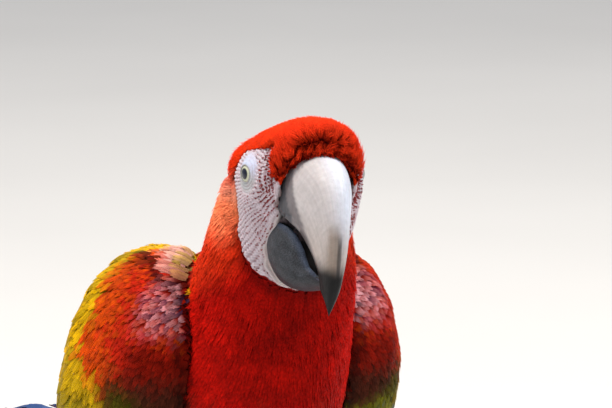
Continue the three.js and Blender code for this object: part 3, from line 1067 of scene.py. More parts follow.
def shape_lids(points):
    """Draws the skin round each eye into a low ring of lid over the eyeball, open in the middle."""
    opening = bpy.context.scene.macaw_skin.lid_opening
    radius = bpy.context.scene.macaw_eyes.radius
    place = to_head(points)
    round_eye, before, above, along = eye_offsets(points)
    brim = math.sqrt(radius**2 - opening**2) + 0.3
    for side in HANDS.values():
        near = (round_eye < 12) & (along > -1) & (np.sign(place[:, 0]) == side)
        spots = np.stack([np.ones(near.sum()), before[near], above[near]], 1)
        ring = round_eye[near] > 9
        slope = np.linalg.lstsq(spots[ring], along[near][ring], rcond=None)[0]
        rim = np.abs(round_eye[near] - opening) < 0.3
        scale = np.where(rim, opening / np.maximum(round_eye[near], 0.1), 1)
        distance = round_eye[near] * scale
        face = spots @ slope
        lid = face + (brim - face) * (1 - ease(opening - 0.5, 10, distance))
        sunk = np.sqrt(np.maximum(radius**2 - distance**2, 0)) - 1.2
        level = np.where(distance < opening - 0.01, sunk, lid)
        share = 1 - ease(7.5, 12, distance)
        height = level * share + along[near] * (1 - share)
        drawn = np.stack([height, before[near] * scale, above[near] * scale], -1)
        place[near] = from_eye(drawn, side)
    return from_head(place)


def legs_mesh(hand):
    """One leg's scaly part: the foot and its toes grown together."""
    points, faces, _ = joined_nodes(FEET[hand], 0.3)
    lumpy = mesh_from("legs", points, faces)
    grain = bpy.context.scene.macaw_skin.leg_grain / 1000
    mesh = with_modifier(lumpy, "REMESH", mode="VOXEL", voxel_size=grain)
    spots = smooth(points_of(mesh), edges_of(mesh), 3)
    spots[:, 2] = np.maximum(spots[:, 2] - 0.1, 0.0)
    move_to(mesh, spots)
    return mesh


class MACAW_OT_skin(bpy.types.Operator):
    """Grows one skin in place of the flesh, with the face's folds, the lids and the scaly legs"""

    bl_idname = "macaw.skin"
    bl_label = "Skin"

    def execute(self, context):
        sizes = context.scene.macaw_skin
        MADE["flesh"] = Surface(*joined_nodes(FLESH))
        MADE["wings"] = Surface(*joined_nodes(WINGS))
        MADE["torso"] = Surface(*joined_nodes(["neck", "trunk"]))
        for part in ("lower_bill", "upper_bill"):
            MADE[part] = Surface(*joined_nodes([part]))
        mesh = self.grow(sizes)
        refine_face(mesh)
        spots, bare, lower, upper = self.shape_face(mesh, sizes.lid_opening)
        labels = MADE["flesh"].labels_at(spots)
        self.colour(mesh, spots, labels, bare, lower, upper)
        legs = [legs_mesh(hand) for hand in HANDS]
        for part in legs:
            tint_points(part, repeated(skin_colour("legs"), len(part.vertices)))
            part.materials.append(finish("scales"))
        mesh.materials.append(finish("down"))
        mesh.materials.append(finish("bare"))
        self.mark_bare(mesh, bare)
        MADE["skin"] = self.surface(mesh, spots, labels, bare, lower, upper)
        skin = self.join(mesh, legs)
        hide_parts(*FLESH, *FEET["left"], *FEET["right"])
        return {"FINISHED"}

    def grow(self, sizes):
        """The flesh and eyes grown together and drawn in by the coat's depth."""
        points, faces, _ = joined_nodes([*FLESH, *[f"eye_{hand}" for hand in HANDS]], 0.55)
        lumpy = mesh_from("skin", points, faces)
        mesh = with_modifier(lumpy, "REMESH", mode="VOXEL", voxel_size=sizes.grain / 1000)
        largest_piece(mesh)
        edges = edges_of(mesh)
        spots = smooth(points_of(mesh), edges, 8)
        move_to(mesh, spots)
        labels = MADE["flesh"].labels_at(spots)
        depth = smooth(coat_depth(spots, labels, bareness(spots)[0])[:, None], edges, 2)
        steps = 4
        for _ in range(steps):
            spots = spots - normals_of(mesh) * depth / steps
            spots = smooth(spots, edges, 1, 0.4, hold=np.clip(depth / 3, 0, 1))
            move_to(mesh, spots)
        return mesh

    def shape_face(self, mesh, opening):
        """Evens out the finely split face, then raises the lids and the folds on it."""
        spots, edges = points_of(mesh), edges_of(mesh)
        ahead, up, _ = side_view(spots)
        fine = ease(-22, -16, ahead) * ease(-62, -56, up)
        spots = shape_lids(smooth(spots, edges, 3, 0.5, hold=fine[:, None]))
        round_eye = eye_offsets(spots)[0]
        ring = ease(opening + 0.5, 6.5, round_eye) * (1 - ease(12, 14, round_eye))
        spots = smooth(spots, edges, 6, 0.5, hold=ring[:, None])
        move_to(mesh, spots)
        bare, lower, upper = bareness(spots)
        height, _ = furrows(spots, lower)
        height = height * ease(opening + 0.4, opening + 1, eye_offsets(spots)[0])
        spots = spots + normals_of(mesh) * (height * bare)[:, None]
        move_to(mesh, spots)
        return spots, bare, lower, upper

    def surface(self, mesh, spots, labels, bare, lower, upper):
        """The skin's triangles, each with its part, how bare it is, and the depth of its coat."""
        mesh.calc_loop_triangles()
        corners = read(mesh.loop_triangles, "vertices", np.int32, 3)
        skin = Surface(spots, corners, labels[corners[:, 0]])
        skin.centres = spots[corners].mean(1)
        skin.bare = bare[corners].max(1)
        skin.lower = lower[corners[:, 0]]
        skin.upper = upper[corners[:, 0]]
        return skin

    def colour(self, mesh, spots, labels, bare, lower, upper):
        """Gives the skin its colours."""
        round_eye, _, above, _ = eye_offsets(spots)
        ahead, up, out = side_view(spots)
        inside = ease(9, 13, ahead) * ease(-38, -34, up)
        inside = inside * (1 - ease(-10, -6, up)) * (1 - ease(13.5, 15.5, out))
        # Painted highlight: the lid's skin turns bluish white above the eye.
        lid = blend(skin_colour("lid"), skin_colour("brow"), ease(-3, 5, above))
        face = overlay(
            repeated(skin_colour("face"), len(spots)),
            (lid, 1 - ease(6.5, 10.5, round_eye)),
            (skin_colour("gape"), np.maximum(1 - ease(3.5, 8, lower), gape_fold(spots))),
            (skin_colour("cere"), 1 - ease(1.4, 2.6, upper)),
            # Partly the face's reddish lines, partly painted shade in its furrows.
            (skin_colour("furrow"), furrows(spots, lower)[1]),
            (skin_colour("mouth"), inside),
        )
        tint_points(mesh, blend(coat_tint(spots, labels), face, ease(0.25, 0.5, bare)))

    def mark_bare(self, mesh, bare):
        """Puts the bare skin's material where the face is bare."""
        first = corners_of(mesh)[read(mesh.polygons, "loop_start", np.int32, 1)]
        mesh.polygons.foreach_set("material_index", (bare[first] > 0.5).astype(np.int32))
        mesh.shade_smooth()

    def join(self, mesh, legs):
        """Joins the legs to the rest, as one piece."""
        for other in bpy.context.view_layer.objects:
            other.select_set(False)
        skin, *feet = [new_object("part", part) for part in (mesh, *legs)]
        for piece in (skin, *feet):
            piece.select_set(True)
        bpy.context.view_layer.objects.active = skin
        bpy.ops.object.join()
        skin.name = "skin"
        skin.select_set(False)
        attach(skin, "root")
        return skin


# ---- Bill, tongue, eyes and claws ----
def bill_rib(ridge, edge, half, hollow):
    """A rib of the upper bill: it arches from the ridge down to the cutting edges."""
    inner = edge + (ridge - edge) * hollow
    return rib(ridge, inner, half, -hollow / (1 - hollow))


UPPER_BILL = [
    tip(at(12, 3)),
    bill_rib(at(21, 15), at(19, -10), 16, 0.2),
    bill_rib(at(36, 13.5), at(28, -13.5), 14, 0.2),
    bill_rib(at(49, 7), at(37, -17), 10.5, 0.22),
    bill_rib(at(58, -6), at(44, -23.5), 7.5, 0.24),
    bill_rib(at(61.5, -20), at(49, -30), 5.6, 0.2),
    bill_rib(at(60, -34), at(51.5, -39), 4, 0.1),
    tip(at(53, -50)),
]
CUTTING_EDGE = [(19, -10), (28, -13.5), (37, -17), (44, -23.5), (49, -30), (51.5, -39), (53, -50)]
SCOOP = [
    tip(at(4, -20)),
    rib(at(20, -6), at(1, -34), 16.5, waist=0.45),
    rib(at(27.5, -10), at(10, -40.5), 17.5, waist=0.45),
    rib(at(33.5, -16.5), at(20, -43), 15.5, waist=0.45),
    rib(at(38.5, -22), at(29, -40.5), 12, waist=0.45),
    rib(at(41.5, -24), at(37, -34.5), 8, waist=0.45),
    tip(at(43, -28.5)),
]
SCOOP_END = 0.985  # where the scoop's front edge is cut, as a share of its length
# How far round from the top the scoop's rim lies: the places along it, and the degrees there.
SCOOP_OPEN = ([0, 0.14, 0.28, 0.34, 0.42, 0.5, 0.75, 1], [78, 66, 41, 34, 29, 26, 26, 34])
RIM_WALL, SCOOP_WALL = 0.9, 3.0  # how thick the scoop is at its rim and below
TONGUE = [
    tip(at(8, -24)),
    rib(at(13, -19), at(13, -35), 7.6),
    rib(at(22, -21), at(23, -37), 7.1),
    rib(at(29, -25), at(30, -38), 5.6),
    tip(at(32.5, -32)),
]


def wrapped_map(mesh, grid):
    """A UV map round a loft: along it and round it."""
    rows, sides = grid.shape[0] - 1, grid.shape[1]
    along, around = np.mgrid[0 : rows + 1, 0:sides]
    places = np.stack([around / sides, along / rows], -1)
    flat = np.vstack([places[0, :1], places[1:-1].reshape(-1, 2), places[-1, :1]])
    map_corners(mesh, "Vane", flat)


def lofted_mesh(name, grid):
    """A smooth mesh of a closed loft, mapped along and round it."""
    points, faces = solid_of(grid)
    mesh = mesh_from(name, points, faces)
    wrapped_map(mesh, grid)
    return mesh


class MACAW_OT_bill(bpy.types.Operator):
    """Builds the horn of the upper and lower bill, and the tongue between them"""

    bl_idname = "macaw.bill"
    bl_label = "Bill and tongue"

    def execute(self, context):
        self.upper_bill()
        self.lower_bill()
        tongue = lofted_mesh("tongue", from_jaw(loft(TONGUE, 40, 32)))
        spots = points_of(tongue)
        mottle = 1 + 0.4 * wobble(spots, 6, 2)
        tint_points(tongue, horn("tongue") * mottle[:, None])
        add_piece("tongue", tongue, finish("tongue"), "tongue_flesh", "tongue")
        return {"FINISHED"}

    def upper_bill(self):
        """The hooked upper bill: pale, with a dark streak on the ridge and a black tip."""
        grid = loft(UPPER_BILL, 132, 112, 2.5)
        mesh = lofted_mesh("upper_bill", from_head(grid))
        spots = points_of(mesh)
        ahead, up, out = side_view(spots)
        side = to_head(spots)[:, 0]
        swing = 0.16 * np.cos(ahead * 1.9 + 0.6 * wobble(spots, 12, 2)) * ease(30, 22, ahead)
        notch = 1.1 * np.exp(-(((ahead - 31) / 2.6) ** 2)) * ease(-6, -12, up) * ease(52, 44, ahead)
        groove = 0.6 * np.exp(-(((out - 3.6) / 1.2) ** 2))
        groove = groove * ease(40, 56, ahead) * ease(-44, -30, up)
        inward = swing * 0.5 + notch * 0.5 + groove * 0.35
        move_to(mesh, spots - normals_of(mesh) * np.clip(inward, 0, 2)[:, None])
        on_ridge = ease(49, 55, ahead)
        streak = ease(3.4, 1.0, np.abs(side + 2.4)) * ease(-5, -14, up) * on_ridge
        line = ease(1.3, 0.4, np.abs(side - 0.2 + 0.4 * wobble(spots, 7, 3)))
        line = line * ease(-10, -17, up) * on_ridge
        edge = line_distance(ahead, up, CUTTING_EDGE)
        rim = ease(2.0, 0.5, edge + 0.5 * wobble(spots, 8, 5)) * ease(-8, -22, up)
        # wall and base: the dark root of the upper bill, partly its own dark horn and partly painted
        # shade on its side wall.
        wall = ease(32.0, 30.0, ahead + 0.66 * up) * ease(13, 8, up)
        base = ease(24.6, 23.2, ahead + 0.58 * up) * ease(10, 6, up)
        colour = overlay(
            repeated(horn("pale"), len(spots)),
            # Painted sky reflection: whiter and bluer towards the top and the bird's left side.
            (horn("cool"), ease(-24, -2, up) * (0.2 + 0.8 * ease(-6, 6, side))),
            (horn("streak"), 0.75 * streak),
            (horn("tip"), 0.7 * line),
            (horn("dark") * 1.6, 0.8 * rim),
            (horn("wall"), 0.9 * wall),
            (horn("dark") * 1.3, 0.8 * base),
            (horn("tip"), ease(-22.5, -31.5, up + 1.2 * wobble(spots, 9, 7))),
        )
        tint_points(mesh, colour)
        add_piece("upper_bill", mesh, finish("horn"), "pale_horn", "upper_bill")

    def lower_bill(self):
        """The scoop of the lower bill: a curved wall, thick below and sharp at its rim."""
        rows, sides = 72, 64
        shares = np.linspace(0.0, SCOOP_END, rows + 1)
        whole = loft(SCOOP, 400, 360)
        place = np.clip((shares * 400).astype(int), 1, 400)[:, None]
        brim = np.interp(shares, *SCOOP_OPEN)[:, None]  # degrees from the top to the rim
        turns = brim + (360 - 2 * brim) * np.linspace(0, 1, sides + 1)
        degree = turns.astype(int)
        outer = whole[place, degree]
        outer = outer + (whole[place, (degree + 1) % 360] - outer) * (turns - degree)[..., None]
        middle = outer.mean(1, keepdims=True)
        rim = np.minimum(np.linspace(0, 1, sides + 1), np.linspace(1, 0, sides + 1)) * 2
        wall = np.minimum(RIM_WALL + 2.7 * ease(0, 0.6, rim), SCOOP_WALL)
        inward = unit(middle + at(2, 6) - outer)
        inner = outer + inward * wall[None, :, None]
        points = from_jaw(np.vstack([outer.reshape(-1, 3), inner.reshape(-1, 3)]))
        count = (rows + 1) * (sides + 1)
        i, j = np.mgrid[0:rows, 0:sides]
        start = i * (sides + 1) + j
        skin = np.stack([start, start + sides + 1, start + sides + 2, start + 1], -1).reshape(-1, 4)
        faces = [*skin.tolist(), *(skin[:, ::-1] + count).tolist()]
        for edge in (np.arange(rows) * (sides + 1), np.arange(rows) * (sides + 1) + sides):
            onward = edge + sides + 1
            faces += np.stack([edge, onward, onward + count, edge + count], -1).tolist()
        for end in (np.arange(sides), np.arange(sides) + rows * (sides + 1)):
            faces += np.stack([end, end + 1, end + 1 + count, end + count], -1).tolist()
        mesh = mesh_from("lower_bill", points, faces)
        places = np.stack(np.meshgrid(np.linspace(0, 1, sides + 1), shares), -1).reshape(-1, 2)
        map_corners(mesh, "Vane", np.vstack([places, places]))
        near_rim = np.tile(rim, rows + 1)
        shine = np.concatenate([1 - ease(0.0, 0.10, near_rim), 1 - ease(0.0, 0.05, near_rim)])
        dark = horn("dark")
        colour = blend(repeated(dark, 2 * count), dark * (1.5, 1.8, 2.4), shine)
        tint_points(mesh, colour * (1 + 0.25 * wobble(points_of(mesh), 7, 9))[:, None])
        add_piece("lower_bill", mesh, finish("dark_horn"), "dark_horn", "lower_bill")


class MACAW_OT_eyes(bpy.types.Operator):
    """Builds the eyeballs, each with a ringed iris, a pupil and a bulging clear front"""

    bl_idname = "macaw.eyes"
    bl_label = "Eyes"

    def execute(self, context):
        sizes = context.scene.macaw_eyes
        iris, pupil = sizes.iris_radius, sizes.pupil_radius
        radius = sizes.radius - 0.05
        turns = np.linspace(0, math.tau, 96, endpoint=False)
        angle, polar = np.meshgrid(turns, np.linspace(0, math.pi, 97))
        away = radius * np.sin(polar)
        bulge = 0.25 * ease(iris + 0.6, 0, away) * (polar < 1.2)
        front = radius * np.cos(polar) + bulge
        grid = np.stack([front, away * np.cos(angle), away * np.sin(angle)], -1)
        for hand, side in HANDS.items():
            mesh = lofted_mesh("eye", from_head(from_eye(grid, side)))
            away = eye_offsets(points_of(mesh))[0]
            white = ease(iris - 0.3, iris + 0.1, away)
            colour = blend(eye_colour("iris_rim"), eye_colour("white"), white)
            colour = blend(eye_colour("iris"), colour, ease(2.9, 3.7, away))
            ringed = ease(pupil, pupil + 0.6, away)
            colour = blend(eye_colour("iris_rim") * 0.8, colour, ringed)
            beyond = ease(pupil - 0.12, pupil + 0.12, away)
            colour = blend(eye_colour("pupil"), colour, beyond)
            tint_points(mesh, colour)
            add_piece(f"eye_{hand}", mesh, finish("eye"), "eye_gloss", f"eye_{hand}")
            self.rim(hand, side)
        return {"FINISHED"}

    def rim(self, hand, side):
        """The thin margin of the lids."""
        opening = bpy.context.scene.macaw_skin.lid_opening
        radius = bpy.context.scene.macaw_eyes.radius
        along, round_it = 96, 10
        turns = np.linspace(0, math.tau, along, endpoint=False)[:, None]
        section = np.linspace(0, math.tau, round_it, endpoint=False)[None, :]
        thick = 0.28 + 0.05 * np.sin(turns * 23)
        away = opening + 0.05 + thick * np.cos(section)
        out = math.sqrt(radius**2 - opening**2) + 0.25 + thick * np.sin(section)
        grid = np.stack([out * np.ones_like(away), away * np.cos(turns), away * np.sin(turns)], -1)
        points = from_head(from_eye(grid, side).reshape(-1, 3))
        number = np.arange(along * round_it).reshape(along, round_it)
        onward, beside = np.roll(number, -1, axis=0), np.roll(number, -1, axis=1)
        faces = np.stack([number, onward, np.roll(onward, -1, axis=1), beside], -1)
        mesh = mesh_from("lid_rim", points, faces.reshape(-1, 4).tolist())
        tint_points(mesh, repeated(skin_colour("lid") * 0.75, len(points)))
        add_piece(f"lid_rim_{hand}", mesh, finish("bare"), "red_plumage")


CLAW_LENGTH = 17
CLAW_THICK = 5.4
FOOT_PLACE = at(14, 0, 31)
TOE_OUT = 10


class MACAW_OT_claws(bpy.types.Operator):
    """Builds the curved claws"""

    bl_idname = "macaw.claws"
    bl_label = "Claws"

    def execute(self, context):
        for name, (heading, length, thick) in TOES.items():
            root, height, reach = length - 3, thick * 0.42, CLAW_LENGTH * 0.62

            def arch(share):
                """The middle of the claw at a share of its length."""
                angle = share * math.radians(105)
                drop = reach * (1 - math.cos(angle)) * 0.46
                return at(root + reach * math.sin(angle) * 1.15, height + 3.2 - drop)

            def ring(share, size):
                """A rib across the claw."""
                half = at(0, size / 2)
                return rib(arch(share) + half, arch(share) - half, size * 0.4)

            thickness = {0.1: CLAW_THICK, 0.4: CLAW_THICK * 0.85, 0.7: CLAW_THICK * 0.6}
            rings = [ring(share, size) for share, size in thickness.items()]
            grid = loft([tip(arch(0)), *rings, tip(arch(1))], 36, 24)
            for hand, side in HANDS.items():
                spots = grid @ turn(0, 0, TOE_OUT + heading).T + FOOT_PLACE
                mesh = lofted_mesh("claw", spots * (side, 1, 1))
                mottle = 0.55 + 0.25 * wobble(points_of(mesh), 5, 1)
                tint_points(mesh, horn("dark") * mottle[:, None])
                claw = f"claw_{name}_{hand}"
                add_piece(claw, mesh, finish("dark_horn"), "dark_horn", claw)
        return {"FINISHED"}


# ---- Feathers ----
# The bird's middle line from the forehead to the tail, as (ahead, up).
SPINE = [
    (138, 262), (104, 258), (88, 225), (62, 190), (10, 150), (-60, 118), (-130, 96), (-260, 68),
]


def along_spine(points):
    """How far along the bird's middle line points lie, and its direction and place there."""
    spots = np.array(SPINE, float)
    flat = np.stack(spread(points)[:2], 1)
    start, step = spots[:-1], np.diff(spots, axis=0)
    length = np.linalg.norm(step, axis=1)
    share = np.clip(((flat[:, None] - start) * step).sum(-1) / length**2, 0, 1)
    foot = start + share[..., None] * step
    away = np.linalg.norm(flat[:, None] - foot, axis=-1)
    weight = np.exp(-(((away - away.min(1, keepdims=True)) / 14) ** 2))
    weight = weight / weight.sum(1, keepdims=True)
    before = np.concatenate([[0], np.cumsum(length)[:-1]])
    reach = (weight * (before + share * length)).sum(1)
    heading = (weight[..., None] * (step / length[:, None])).sum(1)
    return reach, heading, (weight[..., None] * foot).sum(1)


def lie_of_coat(points, labels):
    """The way that feathers lie, before it is turned to follow the skin."""
    _, heading, _ = along_spine(points)
    lie = np.stack([np.zeros(len(points)), -heading[:, 0], heading[:, 1]], 1)
    ahead, side = -points[:, 1], np.sign(points[:, 0])
    wing = is_part(labels, *WINGS)
    down = 0.42 + 0.40 * ease(-40, 50, ahead)
    along = np.stack([0.10 * side, np.full(len(points), 0.8), -down], 1)
    lie[wing] = along[wing]
    lie[is_part(labels, *THIGHS)] = (0, 0.35, -1)
    return unit(lie)


def body_unwrap(points):
    """A place for each point on the body's skin, rolled out along its middle line and round it."""
    reach, heading, foot = along_spine(points)
    outward = np.stack(spread(points)[:2], 1) - foot
    upright = outward[:, 0] * -heading[:, 1] + outward[:, 1] * heading[:, 0]
    angle = np.arctan2(points[:, 0], -upright) / (math.tau) + 0.5
    return np.stack([0.02 + 0.96 * angle, 0.02 + 0.96 * reach / 460], 1)


BAKE_PATCH = 0.003  # the size of one feather's patch in the OFBake map
BOX_MARGIN = 0.05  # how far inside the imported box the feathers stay


def wing_unwrap(points, inner):
    """A place for each point on the wings, laid out flat: left and right, outer and inner."""
    ahead, up, _ = spread(points)
    across = np.clip((ahead + 330) / 410, 0, 1)
    height = np.clip((up - 60) / 165, 0, 1)
    chart = 2 * (points[:, 0] < 0) + inner
    return np.stack([0.02 + 0.96 * across, (chart + 0.04 + 0.92 * height) / 4], 1)


def room_above(points, normals):
    """How far the flesh's outline lies outside points on the skin, in millimetres."""
    rays = zip(points.tolist(), normals.tolist())
    found = [MADE["flesh"].tree.ray_cast(p, n, 9.0)[3] for p, n in rays]
    return np.maximum([0.4 if f is None else f for f in found], 0.4) + nape_fill(points)


def nape_fill(points):
    """How much deeper the coat is in the dip between the head and the neck, in millimetres."""
    ahead, up, out = side_view(points)
    return 6.0 * np.exp(-(((ahead + 28) / 9) ** 2) - ((up + 2) / 9) ** 2) * ease(6, 13, out)


def drape(roots, lie, length, rise):
    """Lays each feather's shaft over the skin. rise is each row's height as a share of the room."""
    skin, rows = MADE["skin"], rise.shape[1] - 1
    here, normal, _ = skin.nearest(roots)
    shafts, normals, headings = [], [], []
    for row in range(rows + 1):
        lie = unit(lie - normal * dot(lie, normal))
        room = room_above(here, normal) if row in (0, rows // 2, rows) else room
        shafts.append(here + normal * (rise[:, row] * room)[:, None])
        normals.append(normal)
        headings.append(lie)
        if row < rows:
            here, onward, _ = skin.nearest(here + lie * (length / rows)[:, None])
            normal = unit(normal * 0.5 + onward)
    return [np.stack(part, 1) for part in (shafts, normals, headings)]


def along_path(path, place):
    """Values at places from 0 to 1 along each feather's path; place is one row per feather."""
    rows = path.shape[1] - 1
    spot = np.clip(place, 0, 1) * rows
    first = np.minimum(spot.astype(int), rows - 1)
    share = (spot - first)[..., None]
    number = np.arange(len(path)).reshape(-1, *[1] * (place.ndim - 1))
    return path[number, first] * (1 - share) + path[number, first + 1] * share


def grow_vanes(path, width, profile, columns, camber, rng):
    """Whole feathers: a cambered vane on each side of a shaft. profile gives the width along it."""
    shafts, normals, headings = path
    rows = len(profile) - 1
    steps = np.tile(np.linspace(0, 1, rows + 1) ** 0.85, (len(shafts), 1))
    spine, up, ahead = (along_path(part, steps) for part in (shafts, normals, headings))
    side = unit(np.cross(up, ahead))
    across = np.linspace(-1, 1, columns + 1)
    half = width[:, None] / 2 * np.array(profile)[None]
    tilt = rng.normal(0, 0.10, len(shafts))[:, None, None]
    out = half[..., None] * across
    drop = np.abs(camber * out * np.abs(across) + tilt * out)
    grid = spine[:, :, None] + side[:, :, None] * out[..., None] - up[:, :, None] * drop[..., None]
    grid = grid[:, None]
    flat = np.broadcast_to((across + 1) / 2, grid.shape[:-1])
    long = np.broadcast_to(steps[:, None, :, None], grid.shape[:-1])
    return grid, flat, long


def long_vanes(grids):
    """Whole feathers from their grids of points, each with its places across and along the vane."""
    grid = np.stack(grids)[:, None]
    rows, columns = grid.shape[2:4]
    flat = np.broadcast_to(np.linspace(0, 1, columns), grid.shape[:-1])
    long = np.broadcast_to(np.linspace(0, 1, rows)[:, None], grid.shape[:-1])
    return grid, flat, long


def grow_tufts(
    path, width, strands, rows, rng, open_root=0.35, fine=0.8, ragged=0.26, point=0.06, loose=0.2
):
    """Loose feathers: narrow strands that fan out from one root, with ragged or even tips."""
    shafts, normals, headings = path
    count = len(shafts)
    place = np.linspace(-1, 1, strands)[None] + rng.normal(0, ragged * 0.6, (count, strands))
    reach = rng.uniform(1 - ragged, 1.0, (count, strands)) * (1 - 0.26 * np.clip(place, -1, 1) ** 2)
    steps = np.linspace(0, 1, rows + 1)
    spot = steps[None, None] * reach[..., None]
    spine, up, ahead = (along_path(part, spot) for part in (shafts, normals, headings))
    side = unit(np.cross(up, ahead))
    spread = open_root + (1 - open_root) * spot**0.8
    middle = place[..., None] * width[:, None, None] / 2 * spread
    taper = np.interp(steps, [0, 0.35, 0.75, 1], [0.7, 1.0, 0.75 + point, point])
    half = (width / strands * fine)[:, None, None] * taper
    edge = np.array([-1.0, 1.0])
    out = middle[..., None] + half[..., None] * edge
    level = rng.normal(0, loose, (count, strands))[..., None] * spot
    drop = 0.16 * out * np.abs(place)[..., None, None] * np.sign(place)[..., None, None]
    grid = spine[:, :, :, None] + side[:, :, :, None] * out[..., None]
    grid = grid - up[:, :, :, None] * (np.abs(drop) - level[..., None])[..., None]
    flat = ((np.clip(place, -1, 1) + 1) / 2)[..., None, None] + edge * 0.03
    flat = np.broadcast_to(flat, grid.shape[:-1])
    long = np.broadcast_to(spot[..., None], grid.shape[:-1])
    return grid, flat, long


def coat_piece(
    name, grown, root_tint, tip_tint, bake, look, slot, turn_at=(0.15, 0.75), vary=0.14, seed=1
):
    """Joins grown feathers into one piece, tinted from root to tip and mapped by their roots."""
    grid, flat, long = grown
    rng = np.random.default_rng(seed)
    count, strands, rows, columns = grid.shape[:4]
    root_tint, tip_tint, bake = (part[:, None, None, None] for part in (root_tint, tip_tint, bake))
    colour = blend(root_tint, tip_tint, ease(*turn_at, long))
    each = 1 + rng.normal(0, vary, (count, 1, 1, 1, 1))
    strand = 1 + rng.normal(0, vary * 0.8, (count, strands, 1, 1, 1))
    colour = colour * np.clip(each * strand, 0.4, 1.7)
    number = np.arange(count * strands * rows * columns).reshape(-1, rows, columns)
    near, far = number[:, :-1], number[:, 1:]
    quads = np.stack([near[..., :-1], far[..., :-1], far[..., 1:], near[..., 1:]], -1)
    low, high = from_frame(np.array([c[:] for c in CAD_BOX]))
    points = np.clip(grid.reshape(-1, 3), low + BOX_MARGIN, high - BOX_MARGIN)
    mesh = quad_mesh(name, points, quads.reshape(-1, 4))
    tint_points(mesh, colour.reshape(-1, 3))
    map_corners(mesh, "Vane", np.stack([flat.ravel(), long.ravel()], 1))
    patch = np.stack([flat - 0.5, long - 0.5], -1) * BAKE_PATCH
    map_corners(mesh, "OFBake", (bake + patch).reshape(-1, 2))
    return add_piece(name, mesh, finish(look), slot)


def sow(spacing, seed, wanted):
    """Roots on the skin where wanted, with their labels and the lie of the coat."""
    skin = MADE["skin"]
    roots, face = skin.scatter(spacing, seed, wanted)
    labels = skin.labels[face]
    return roots, labels, lie_of_coat(roots, labels)


def lifted(count, rows, rng, low=0.35, most=1.0):
    """How far each row of a feather stands off the skin, as a share of the coat's depth."""
    share = np.linspace(0, 1, rows + 1)[None] ** 0.6
    top = most * rng.uniform(0.84, 1.0, (count, 1))
    return low + (top - low) * share


